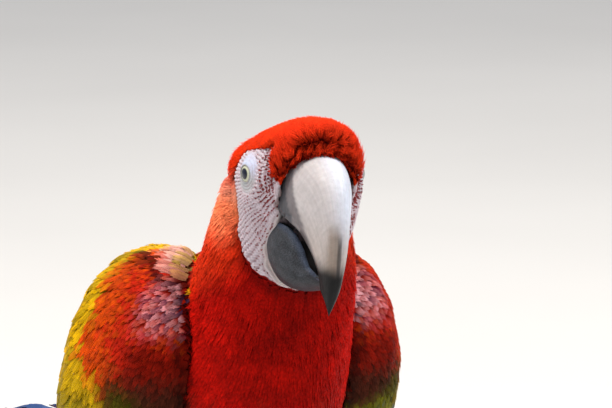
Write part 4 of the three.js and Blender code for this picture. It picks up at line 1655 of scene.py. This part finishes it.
class MACAW_OT_head_plumage(bpy.types.Operator):
    """Covers the crown with short feathers, raised above the bill, and dots the bare face"""

    bl_idname = "macaw.head_plumage"
    bl_label = "Head feathers"

    def execute(self, context):
        self.crown()
        self.fringe()
        self.face_feathers()
        return {"FINISHED"}

    def crown(self):
        """The short, soft feathers of the crown and the sides of the head."""
        skin = MADE["skin"]
        rng = np.random.default_rng(11)
        wanted = is_part(skin.labels, "head") & (skin.bare < 0.35) & (skin.upper > 4)
        roots, _, lie = sow(0.92, 21, wanted)
        ahead, up, out = side_view(roots)
        front = ease(4, 20, ahead) * ease(4, 12, up + 0.4 * out - 2)
        count = len(roots)
        near = 1 - ease(3, 9, MADE["upper_bill"].distance(roots))
        length = (7.2 - 0.8 * front + 3.6 * ease(-8, -34, ahead)) * rng.uniform(0.85, 1.12, count)
        flank = front * ease(9, 16, out)
        lie = unit(lie + np.array((0, 0, 1.8)) * flank[:, None] + rng.normal(0, 0.09, (count, 3)))
        rise = lifted(count, 4, rng)
        length = length * clear_share(drape(roots, lie, length, rise), on_bare_skin)
        path = drape(roots, lie, length, rise)
        path = self.stand_up(path, 0.42 * front * rng.uniform(0.6, 1.1, count), length)
        tint = body_tint(roots)
        root_tint = blend(tint * 0.5, plume("crown") * 0.25, near)
        tip_tint = blend(tint, plume("forehead"), front * 0.8)
        side = roots[:, 0] > 0
        for name, these in (("crown_feathers_left", side), ("crown_feathers_right", ~side)):
            part = [values[these] for values in path]
            width = np.full(these.sum(), 2.8)
            grown = grow_tufts(part, width, 6, 4, rng, open_root=0.3, fine=0.38, ragged=0.32)
            coat_piece(
                name, grown, root_tint[these], tip_tint[these], body_unwrap(roots[these]),
                "soft", "crown_plumage", (0.1, 0.6), 0.08, 31,
            )

    def fringe(self):
        """The upright feathers round the root of the bill, black-red at their roots."""
        skin = MADE["skin"]
        rng = np.random.default_rng(12)
        high = to_head(skin.centres)[:, 2] > 0.3
        wanted = is_part(skin.labels, "head") & (skin.bare < 0.5) & (skin.upper < 7.5) & high
        roots, _, lie = sow(0.66, 22, wanted)
        count = len(roots)
        nearest = MADE["upper_bill"].nearest(roots)[0]
        away = unit(roots - nearest)
        edge = 1 - ease(1.5, 6, np.linalg.norm(roots - nearest, axis=1))
        flank = ease(9, 15, side_view(roots)[2])
        length = (4.4 + 1.8 * rng.random(count)) * (1 - 0.2 * edge * rng.random(count))
        path = drape(roots, lie, length, lifted(count, 4, rng, 0.1, 0.5))
        shafts, normals, _ = path
        outward = normals[:, 0] * (1 - 0.55 * flank)[:, None]
        outward = outward + away * ((0.35 - 0.45 * edge) * (1 - flank))[:, None]
        upward = np.array((0, 0.1, 1)) * (0.3 + 0.6 * flank - 0.35 * edge * (1 - flank))[:, None]
        forward = np.array((0, -2.0, -0.8)) * (edge * (1 - 0.6 * flank))[:, None]
        heading = unit(outward + upward + forward + lie * 0.25 + rng.normal(0, 0.11, (count, 3)))
        share = np.linspace(0, 1, 5)[None, :, None]
        droop = unit(heading + lie * 0.7)
        bent = heading[:, None] * (1 - share / 2) + droop[:, None] * share / 2
        shafts = shafts[:, :1] + bent * share * length[:, None, None]
        headings = np.repeat(heading[:, None], 5, axis=1)
        facing = unit(normals - headings * dot(normals, headings) + 1e-3)
        root_tint = repeated(plume("forehead_root"), count)
        tip_tint = plume("forehead") * rng.uniform(0.85, 1.15, (count, 1))
        shade = edge * (1 - flank) * ease(10, 0, to_head(roots)[:, 0])
        tip_tint = blend(tip_tint, plume("forehead_root") * 1.6, 0.7 * shade)
        path, width = (shafts, facing, headings), np.full(count, 1.9)
        grown = grow_tufts(path, width, 5, 4, rng, open_root=0.3, fine=0.38, ragged=0.32)
        coat_piece(
            "fringe_feathers", grown, root_tint, tip_tint, body_unwrap(roots),
            "soft", "crown_plumage", (0.35, 0.95), 0.12, 32,
        )

    def stand_up(self, path, lean, length):
        """Tips feathers up off the skin by an angle for each."""
        shafts, normals, headings = path
        lean = lean[:, None, None]
        share = np.linspace(0, 1, shafts.shape[1])[None, :, None]
        straight = unit(headings[:, :1] * np.cos(lean) + normals[:, :1] * np.sin(lean))
        raised = shafts[:, :1] + straight * share * length[:, None, None]
        raised = raised + headings[:, :1] * share**2
        mix = np.clip(lean * 1.6, 0, 1)
        return shafts * (1 - mix) + raised * mix, normals, headings

    def face_feathers(self):
        """Rows of tiny dark red feathers in the furrows of the bare face."""
        skin = MADE["skin"]
        rng = np.random.default_rng(5)
        roots, face = skin.scatter(0.42, 8, skin.bare > 0.8)
        lower = skin.lower[face]
        _, furrow = furrows(roots, lower)
        ahead, up, out = side_view(roots)
        dense = ease(8, 10.5, eye_offsets(roots)[0]) * ease(-2, 3, ahead + 0.1 * up + 12)
        dense = dense * ease(3.0, 6.0, lower) * ease(12, 15, out)
        lores = ease(8, 13, ahead) * ease(-12, -6, up)
        chance = furrow * dense * (0.16 + 0.5 * lores)
        keep = rng.random(len(roots)) < chance
        roots, labels = roots[keep], skin.labels[face[keep]]
        count = len(roots)
        lie = unit(lie_of_coat(roots, labels) + rng.normal(0, 0.3, (count, 3)) + (0, 0, -0.5))
        length = rng.uniform(0.5, 0.95, count)
        rise = np.tile([0.05, 0.3, 0.4], (count, 1))
        path = drape(roots, lie, length, rise)
        grown = grow_tufts(path, np.full(count, 0.42), 2, 2, rng, open_root=0.4)
        tint = repeated(plume("face_rows"), count)
        bake = body_unwrap(roots)
        coat_piece(
            "face_feathers", grown, tint * 0.8, tint * 1.1, bake, "soft", "crown_plumage", seed=3
        )


class MACAW_OT_body_plumage(bpy.types.Operator):
    """Covers the neck, breast, back, belly and thighs with soft feathers that lie along the body"""

    bl_idname = "macaw.body_plumage"
    bl_label = "Body feathers"

    def execute(self, context):
        skin = MADE["skin"]
        ahead = -skin.centres[:, 1]
        bare = skin.bare > 0.4
        trunk = is_part(skin.labels, "trunk")
        front = trunk & (ahead > 18)
        neck = is_part(skin.labels, "neck")
        thighs = is_part(skin.labels, *THIGHS)
        # where, then the spacing, length, width and strands of its feathers, and the seed
        self.cover("neck_feathers", neck & ~bare, 1.75, 13.5, 4.6, 7, 41)
        self.cover("breast_feathers", front & ~bare, 2.15, 18, 6.4, 8, 42)
        self.cover("back_and_belly_feathers", trunk & (ahead <= 18), 3.3, 24, 9, 8, 43)
        self.cover("thigh_feathers", thighs, 2.6, 16, 6, 7, 44, most=0.8)
        return {"FINISHED"}

    def cover(self, name, wanted, spacing, length, width, strands, seed, most=0.97):
        """One area of soft feathers."""
        rng = np.random.default_rng(seed)
        roots, labels, lie = sow(spacing, seed, wanted)
        count = len(roots)
        lie = unit(lie + rng.normal(0, 0.07, (count, 3)))
        lengths = length * rng.uniform(0.82, 1.12, count)
        if name == "thigh_feathers":
            lengths = np.minimum(lengths, np.maximum(roots[:, 2] - 44, 4))
        rise = lifted(count, 4, rng, most=most)
        share = clear_share(drape(roots, lie, lengths, rise), on_wings)
        kept = (share > 0.3) | (roots[:, 2] < 200)
        roots, labels, lie, rise = roots[kept], labels[kept], lie[kept], rise[kept]
        lengths, count = (lengths * share)[kept], kept.sum()
        path = drape(roots, lie, lengths, rise)
        grown = grow_tufts(path, width * rng.uniform(0.85, 1.15, count), strands, 4, rng)
        tint = coat_tint(roots, labels)
        ahead, up, _ = spread(roots)
        gap = MADE["wings"].distance(roots)
        # Painted shade: the body's feathers are darkened in the crease beside the wing.
        crease_shade = (1 - ease(2, 9, gap)) * ease(20, 40, ahead) * ease(212, 200, up)
        tint = tint * (1 - 0.8 * crease_shade)[:, None]
        shoulder = (1 - ease(4, 9, gap)) * ease(204, 212, up) * ease(10, 25, ahead)
        tint = blend(tint, plume("yellow"), shoulder * is_part(labels, "trunk"))
        root_tint = tint * (0.5 + 0.3 * ease(0.06, 0.2, tint[:, 1]))[:, None]
        tip_tint = tint * (1 + 0.18 * wobble(roots, 30, seed)[:, None])
        coat_piece(
            name, grown, root_tint, tip_tint, body_unwrap(roots),
            "soft", "red_plumage", (0.1, 0.6), 0.08, seed,
        )


VANE = [0.3, 0.72, 0.95, 1.0, 0.9, 0.62, 0.08]  # a covert's width along it, as a share
LONGEST_TUFT = 16


class MACAW_OT_wing_coverts(bpy.types.Operator):
    """Shingles the wings with small rounded feathers, larger and longer towards the back"""

    bl_idname = "macaw.wing_coverts"
    bl_label = "Wing coverts"

    def execute(self, context):
        skin = MADE["skin"]
        ahead, up, out = spread(skin.centres)
        for hand, side in HANDS.items():
            wing = is_part(skin.labels, f"wing_coverts_{hand}")
            shoulder_edge = 40 - 0.8 * np.maximum(ahead - 60, 0)
            top = wing & (out < shoulder_edge) & (up > 207) & (ahead > -4)
            rest = wing & ~top
            line = ahead + 0.35 * np.minimum(up - 180, 0)
            lesser = rest & (line <= 49) & (line > 20)
            # where, then the spacing, length and width of its feathers, and the seed
            self.shingle(f"small_coverts_{hand}", rest & (line > 46), 1.7, 8, 3.0, 50 + side)
            self.shingle(f"lesser_coverts_{hand}", lesser, 2.7, 14, 4.8, 54 + side)
            self.shingle(f"middle_coverts_{hand}", rest & (line <= 23), 4.3, 24, 8.5, 60 + side)
            tints = self.shoulder_tints
            self.shingle(f"scapulars_{hand}", top, 2.2, 11, 3.4, 70 + side, tints)
        return {"FINISHED"}

    def shingle(self, name, wanted, spacing, length, width, seed, tints=None):
        """One area of rounded feathers, the short ones as tufts."""
        rng = np.random.default_rng(seed)
        roots, _, lie = sow(spacing, seed, wanted)
        count = len(roots)
        chance = rng.random(count)
        if tints:
            lie = unit(lie * (1, 1, 0.25))
        side, (ahead, up, _) = np.sign(roots[:, 0]), spread(roots)
        outward = side * 0.9 * ease(40, 72, ahead) * ease(150, 190, up)
        steep = -0.8 * ease(20, 50, ahead) * ease(206, 186, up)
        lie = lie + np.stack([outward, 0 * outward, steep], 1)
        lie = unit(lie + rng.normal(0, 0.09, (count, 3)))
        lengths = length * rng.uniform(0.85, 1.15, count)
        path = drape(roots, lie, lengths, lifted(count, 6, rng, 0.45))
        widths = width * rng.uniform(0.85, 1.15, count)
        if length < LONGEST_TUFT:
            grown = grow_tufts(path, widths, 6, 4, rng, 0.45, 0.9, 0.12, 0.25, 0.05)
        else:
            grown = grow_vanes(path, widths, VANE, 4, 0.12, rng)
        root_tint, tip_tint = (tints or self.covert_tints)(roots, lie, chance)
        inner = (side * MADE["skin"].nearest(roots)[1][:, 0] < 0).astype(float)
        coat_piece(
            name, grown, root_tint, tip_tint, wing_unwrap(roots, inner),
            "scallop", "covert_plumage", (0.35, 0.85), 0.12, seed,
        )

    def covert_tints(self, roots, lie, chance):
        """Root and tip colours of the wing's coverts."""
        tint = wing_tint(roots - lie * 2, chance)
        ahead, up, out = spread(roots)
        other = np.modf(chance * 7)[0]
        bend = ease(58, 70, ahead + 3 * (other - 0.5)) * ease(186, 202, up + 5 * (other - 0.5))
        bend = bend * ease(62, 50, out)
        spotted = other > 0.72
        spot = bend * spotted
        tint = blend(tint, plume("wrist_spot"), 0.6 * spot)
        root_tint = blend(tint * 0.7, plume("wrist_spot"), 0.8 * spot)
        # Painted shadow: a dark band on the coverts just below the scapulars' edge, where the
        # scapulars cast shade.
        over = ease(47, 42, out + 0.8 * np.maximum(ahead - 60, 0))
        over = over * ease(204, 209, up) * ease(14, 26, ahead)
        tint, root_tint = tint * (1 - 0.75 * over)[:, None], root_tint * (1 - 0.75 * over)[:, None]
        gap = MADE["torso"].distance(roots)
        # Painted shade: the coverts are darkened in the crease beside the body.
        crease_shade = (1 - ease(1, 5, gap)) * ease(20, 40, ahead) * ease(212, 202, up)
        tint = tint * (1 - 0.75 * crease_shade)[:, None]
        gold = ease(34, 22, ahead) * ease(150, 162, up)
        tip_tint = blend(tint * 1.08, plume("green"), 0.6 * gold * (other > 0.62))
        orange = 0.5 * (other < 0.3) * ease(34, 50, ahead) * ease(180, 190, up)
        tip_tint = blend(tip_tint, plume("orange") * 1.15, orange)
        # Painted sheen: the tips at the bend are mixed towards pale pink, as light glancing off them.
        gloss = 0.85 * bend * (1 - 0.7 * spotted)
        return root_tint, blend(tip_tint, plume("wrist_gloss"), gloss)

    def shoulder_tints(self, roots, lie, chance):
        """Root and tip colours of the pale feathers over the shoulder."""
        ahead, _, out = spread(roots)
        yellow, green = plume("yellow"), plume("green")
        gold = np.clip(ease(44, 34, ahead) + ease(30, 25, out) + 0.3 * (chance - 0.5), 0, 1)
        tint = blend(plume("scapular"), yellow, gold)
        beside_body = 1 - ease(0.5, 3, MADE["torso"].distance(roots))
        tint = blend(tint, blend(yellow, green, 0.6), 0.8 * beside_body)
        inward = ease(41, 33, out + 0.8 * np.maximum(ahead - 60, 0) + 5 * (chance - 0.5))
        vary = 0.9 + 0.3 * np.modf(chance * 5)[0]
        tint = blend(wing_tint(roots, chance), tint, inward) * vary[:, None]
        return tint * 0.65, tint * 1.1


# A flight feather's width along it, as a share of its widest.
LONG_VANE = [
    0.16, 0.42, 0.66, 0.82, 0.92, 0.97, 1.0, 1.0, 0.99, 0.96, 0.92, 0.84, 0.70, 0.46, 0.10,
]


class MACAW_OT_flight_feathers(bpy.types.Operator):
    """Lays the long feathers of the folded wings over one another"""

    bl_idname = "macaw.flight_feathers"
    bl_label = "Flight feathers"

    def execute(self, context):
        for hand, side in HANDS.items():
            names = [f"wing_coverts_{hand}", f"wing_flights_{hand}"]
            self.wing = Surface(*joined_nodes(names))
            grids, tints, roots, inner = [], [], [], []
            for from_inside in (0, 1):
                for root, end, width, depth, tint in self.feathers():
                    grid = self.lay(root, end, width, depth, side, from_inside)
                    grids.append(grid)
                    tints.append(tint)
                    roots.append(grid[1, 3])
                    inner.append(float(from_inside))
            tints = np.array(tints)
            bake = wing_unwrap(np.array(roots), np.array(inner))
            piece = coat_piece(
                f"flight_feathers_{hand}", long_vanes(grids), tints, tints * (0.75, 0.8, 0.95),
                bake, "quill", "flight_plumage", (0.3, 1.0), 0.08, 80 + side,
            )
            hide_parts(f"wing_flights_{hand}")
        return {"FINISHED"}

    def feathers(self):
        """Each feather's root and tip seen from the side, its width, its depth and its colour."""
        blue = plume("blue")
        teal = blue * 0.6 + np.array((0.0, 0.10, 0.06))
        rows = []
        for share in np.linspace(0, 1, 8):  # primaries, from the lowest up
            root, end = (-92 + 8 * share, 90 + 12 * share), (-323 + 92 * share, 70 + 12 * share)
            rows.append((root, end, 15, (2.4, 0.4), blue * (0.7 + 0.2 * share)))
        for share in np.linspace(0, 1, 11):  # secondaries
            root, end = (-62 + 6 * share, 98 + 66 * share), (-206 + 66 * share, 86 + 48 * share)
            rows.append((root, end, 21, (2.0, 0.3), blue * (0.85 + 0.3 * share)))
        for share in np.linspace(0, 1, 13):  # greater coverts
            root, end = (-48 + 4 * share, 98 + 74 * share), (-104 + 8 * share, 92 + 62 * share)
            rows.append((root, end, 19, (1.2, 0.15), blend(blue, teal, 0.5 + 0.5 * share)))
        return rows

    def lay(self, root, end, width, depth, side, from_inside):
        """One feather's points, laid on the wing's surface from outside or from inside."""
        rows, columns = len(LONG_VANE), 7
        share = np.linspace(0, 1, rows)[:, None]
        across = np.linspace(-1, 1, columns)[None]
        root, end = np.array(root, float), np.array(end, float)
        step = end - root
        normal = np.array([-step[1], step[0]]) / np.linalg.norm(step)
        middle = root + step * share[..., None]
        middle = middle - normal * (2.0 * np.sin(math.pi * share))[..., None]
        half = width / 2 * np.array(LONG_VANE)[:, None]
        flat = middle + normal * (half * across)[..., None]
        lowered = depth[0] + (depth[1] - depth[0]) * ease(0.1, 0.6, share)
        lowered = lowered + 0.35 * (1 - across * (1 if normal[1] < 0 else -1)) / 2
        lowered = lowered + 0.35 * across**2
        points = np.empty((rows, columns, 3))
        start, heading = (0.0, side) if from_inside else (200.0 * side, -side)
        for i in range(rows):
            for j in range(columns):
                ahead, up = flat[i, j]
                hit = self.wing.tree.ray_cast((start, -ahead, up), (heading, 0, 0))[0]
                if hit is None:
                    near = self.wing.tree.find_nearest((26.0 * side, -ahead, up))[0]
                    points[i, j] = (near.x, -ahead * 0.3 + near.y * 0.7, up * 0.3 + near.z * 0.7)
                else:
                    points[i, j] = (hit.x + heading * lowered[i, j], -ahead, up)
        points[..., 0] = smooth_rows(points[..., 0])
        return points


def smooth_rows(values):
    """Evens out values along a grid."""
    for _ in range(3):
        middle = values.copy()
        middle[1:-1] = (values[:-2] + 2 * values[1:-1] + values[2:]) / 4
        values = middle.copy()
        values[:, 1:-1] = (middle[:, :-2] + 2 * middle[:, 1:-1] + middle[:, 2:]) / 4
    return values


TAIL_LENGTH = 455
TAIL_BASE = (-118, 92)
TAIL_PAIRS = 6
# Half of a tail feather's width: the places along it, and its half widths there.
TAIL_VANE = ([0, 0.06, 0.25, 0.5, 0.75, 0.9, 0.97, 1], [2, 7, 12, 13, 11.6, 7.6, 3.2, 0.3])


class MACAW_OT_tail(bpy.types.Operator):
    """Builds the long tail feathers and the soft coverts above and below their roots"""

    bl_idname = "macaw.tail"
    bl_label = "Tail"

    def execute(self, context):
        grids, tints, ends, roots = [], [], [], []
        red, blue = plume("tail"), plume("rump") * 0.6
        for pair in reversed(range(TAIL_PAIRS)):
            for side in HANDS.values():
                grid = self.feather(pair, side)
                grids.append(grid)
                roots.append(grid[2, 4])
                tints.append(red * (1.1 - 0.05 * pair))
                ends.append(blend(red, blue, 0.15 + 0.15 * pair))
        roots = np.array(roots)
        bake = np.stack([0.5 + roots[:, 0] / 80, (np.arange(len(roots)) + 0.5) / len(roots)], 1)
        piece = coat_piece(
            "tail_feathers", long_vanes(grids), np.array(tints), np.array(ends),
            bake, "quill", "tail_plumage", (0.7, 1.0), 0.05, 91,
        )
        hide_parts("tail")
        self.coverts(np.random.default_rng(90))
        return {"FINISHED"}

    def feather(self, pair, side):
        """One tail feather's points: a cambered vane along a gently sagging line."""
        tail_tip = at(TAIL_BASE[0] - TAIL_LENGTH, -3.2)
        tail_root = at(TAIL_BASE[0] + 22, TAIL_BASE[1] + 4)
        length = 1 - 0.62 * (pair / (TAIL_PAIRS - 1)) ** 0.8
        share = np.linspace(0, 1, 34)[:, None]
        line = tail_root + (tail_tip - tail_root) * (share * length)
        line[:, 0] = side * (5 + pair * 2.2 + share[:, 0] * pair * 1.6)
        reach = share[:, 0] * length
        line[:, 2] -= 1.8 * pair * (1 - reach) + 4 * np.sin(math.pi * reach)
        half = np.interp(share[:, 0], *TAIL_VANE)
        across = np.linspace(-1, 1, 9)
        grid = np.repeat(line[:, None], 9, axis=1)
        grid[..., 0] += half[:, None] * across
        shaft = 0.5 * np.exp(-((across / 0.12) ** 2))
        grid[..., 2] += 1.1 - 1.5 * (half[:, None] / 13) * across**2 + shaft
        grid[..., 2] = np.maximum(grid[..., 2], 0.12)
        return grid

    def coverts(self, rng):
        """The feathers over and under the tail's root."""
        roots, _, lie = sow(6.0, 92, is_part(MADE["skin"].labels, "tail_coverts"))
        count = len(roots)
        lengths = np.clip(250 - roots[:, 1], 8, 34) * rng.uniform(0.85, 1.0, count)
        path = drape(roots, lie, lengths, lifted(count, 6, rng, 0.25, 0.95))
        grown = grow_vanes(path, rng.uniform(12, 15, count), VANE, 6, 0.10, rng)
        tint = repeated(plume("rump"), count)
        coat_piece(
            "tail_covert_feathers", grown, tint * 0.7, tint, body_unwrap(roots),
            "scallop", "rump_plumage", (0.3, 0.9), 0.08, 93,
        )


# ---- Stage ----
LAMPS = {  # place from the head in metres, watts, size in metres, colour
    "key": ((-0.9, 0.3, 2.1), 62, 0.7, (1.0, 0.95, 0.88)),
    "front": ((1.3, -2.6, 1.5), 14, 1.6, (1.0, 0.98, 0.96)),
    "side": ((1.7, -0.1, 1.5), 26, 0.9, (1.0, 0.96, 0.90)),
}
FLOOR_HALF = 30  # metres
VIEW_AZIMUTH, VIEW_ELEVATION = -20, 10  # degrees
VIEW_WIDTH, VIEW_DISTANCE = 0.2696, 2.0  # metres
EYES_IN_VIEW = (-0.0049, 0.0507)  # the eyes' place from the view's middle, as shares of its width


class MACAW_OT_stage(bpy.types.Operator):
    """Lays the floor and sets the lights and the camera"""

    bl_idname = "macaw.stage"
    bl_label = "Floor, lights and camera"

    def execute(self, context):
        self.floor()
        world = bpy.data.worlds.new("studio")
        world.use_nodes = True
        sky = world.node_tree.nodes["Background"].inputs
        sky["Color"].default_value = (0.93, 0.95, 1.0, 1)
        sky["Strength"].default_value = 0.5
        context.scene.world = world
        context.scene.view_settings.view_transform = "Standard"
        head = Vector(to_frame(HEAD_CENTRE))
        for name, (place, power, size, colour) in LAMPS.items():
            self.lamp(name, head + Vector(place), head, power, size, colour)
        self.camera()
        return {"FINISHED"}

    def floor(self):
        """A plain pale floor."""
        half = FLOOR_HALF
        points = [(-half, -half, 0), (half, -half, 0), (half, half, 0), (-half, half, 0)]
        mesh = bpy.data.meshes.new("floor")
        mesh.from_pydata(points, [], [(0, 1, 2, 3)])
        floor = new_object("floor", mesh)
        look = Finish("floor", Roughness=0.85)
        soft = look.noise(3, 2)
        pale = look.mix(0.5, (0.72, 0.71, 0.69), (0.74, 0.73, 0.72))
        look.shade(pale, look.mottle(soft, 0.98, 1.02))
        mesh.materials.append(look.material)

    def lamp(self, name, place, target, power, size, colour):
        """A soft square light aimed at the bird."""
        data = bpy.data.lights.new(name, "AREA")
        data.energy, data.size, data.color = power, size, colour
        lamp = new_object(name, data)
        lamp.location = place
        lamp.rotation_mode = "QUATERNION"
        lamp.rotation_quaternion = (target - place).to_track_quat("-Z", "Y")

    def camera(self):
        """A long lens from a little to the bird's right and above, near the height of its eyes."""
        azimuth, elevation = math.radians(VIEW_AZIMUTH), math.radians(VIEW_ELEVATION)
        level = math.cos(elevation)
        back = Vector((math.sin(azimuth) * level, -math.cos(azimuth) * level, math.sin(elevation)))
        right = Vector((math.cos(azimuth), math.sin(azimuth), 0))
        up = back.cross(right)
        eyes = Vector(to_frame(from_head(EYE_CENTRE)))
        across, above = (VIEW_WIDTH * share for share in EYES_IN_VIEW)
        data = bpy.data.cameras.new("camera")
        data.sensor_width = 36
        data.lens = data.sensor_width * VIEW_DISTANCE / VIEW_WIDTH
        camera = new_object("camera", data)
        camera.rotation_mode = "QUATERNION"
        camera.location = eyes - right * across - up * above + back * VIEW_DISTANCE
        camera.rotation_quaternion = (-back).to_track_quat("-Z", "Y")
        bpy.context.scene.camera = camera


STEPS = (
    MACAW_OT_skin, MACAW_OT_bill, MACAW_OT_eyes, MACAW_OT_claws, MACAW_OT_head_plumage,
    MACAW_OT_body_plumage, MACAW_OT_wing_coverts, MACAW_OT_flight_feathers, MACAW_OT_tail,
    MACAW_OT_stage,
)


class MACAW_PT_parts(bpy.types.Panel):
    """Lists the steps that build the macaw"""

    bl_idname = "MACAW_PT_parts"
    bl_label = "Scarlet macaw"
    bl_space_type = "VIEW_3D"
    bl_region_type = "UI"
    bl_category = "Macaw"

    def draw(self, context):
        for name, group in GROUPS.items():
            box = self.layout.box()
            for prop in group.__annotations__:
                box.prop(getattr(context.scene, name), prop)
        for step in STEPS:
            self.layout.operator(step.bl_idname)


def register():
    """Registers the settings, the operators and the panel."""
    for name, group in GROUPS.items():
        bpy.utils.register_class(group)
        setattr(bpy.types.Scene, name, PointerProperty(type=group))
    for kind in (*STEPS, MACAW_PT_parts):
        bpy.utils.register_class(kind)


def unregister():
    """Takes them away again."""
    for kind in (MACAW_PT_parts, *reversed(STEPS)):
        bpy.utils.unregister_class(kind)
    for name, group in GROUPS.items():
        delattr(bpy.types.Scene, name)
        bpy.utils.unregister_class(group)


def main():
    """Builds every piece in order."""
    register()
    for step in STEPS:
        group, name = step.bl_idname.split(".")
        getattr(getattr(bpy.ops, group), name)()


if __name__ == "__main__":
    main()
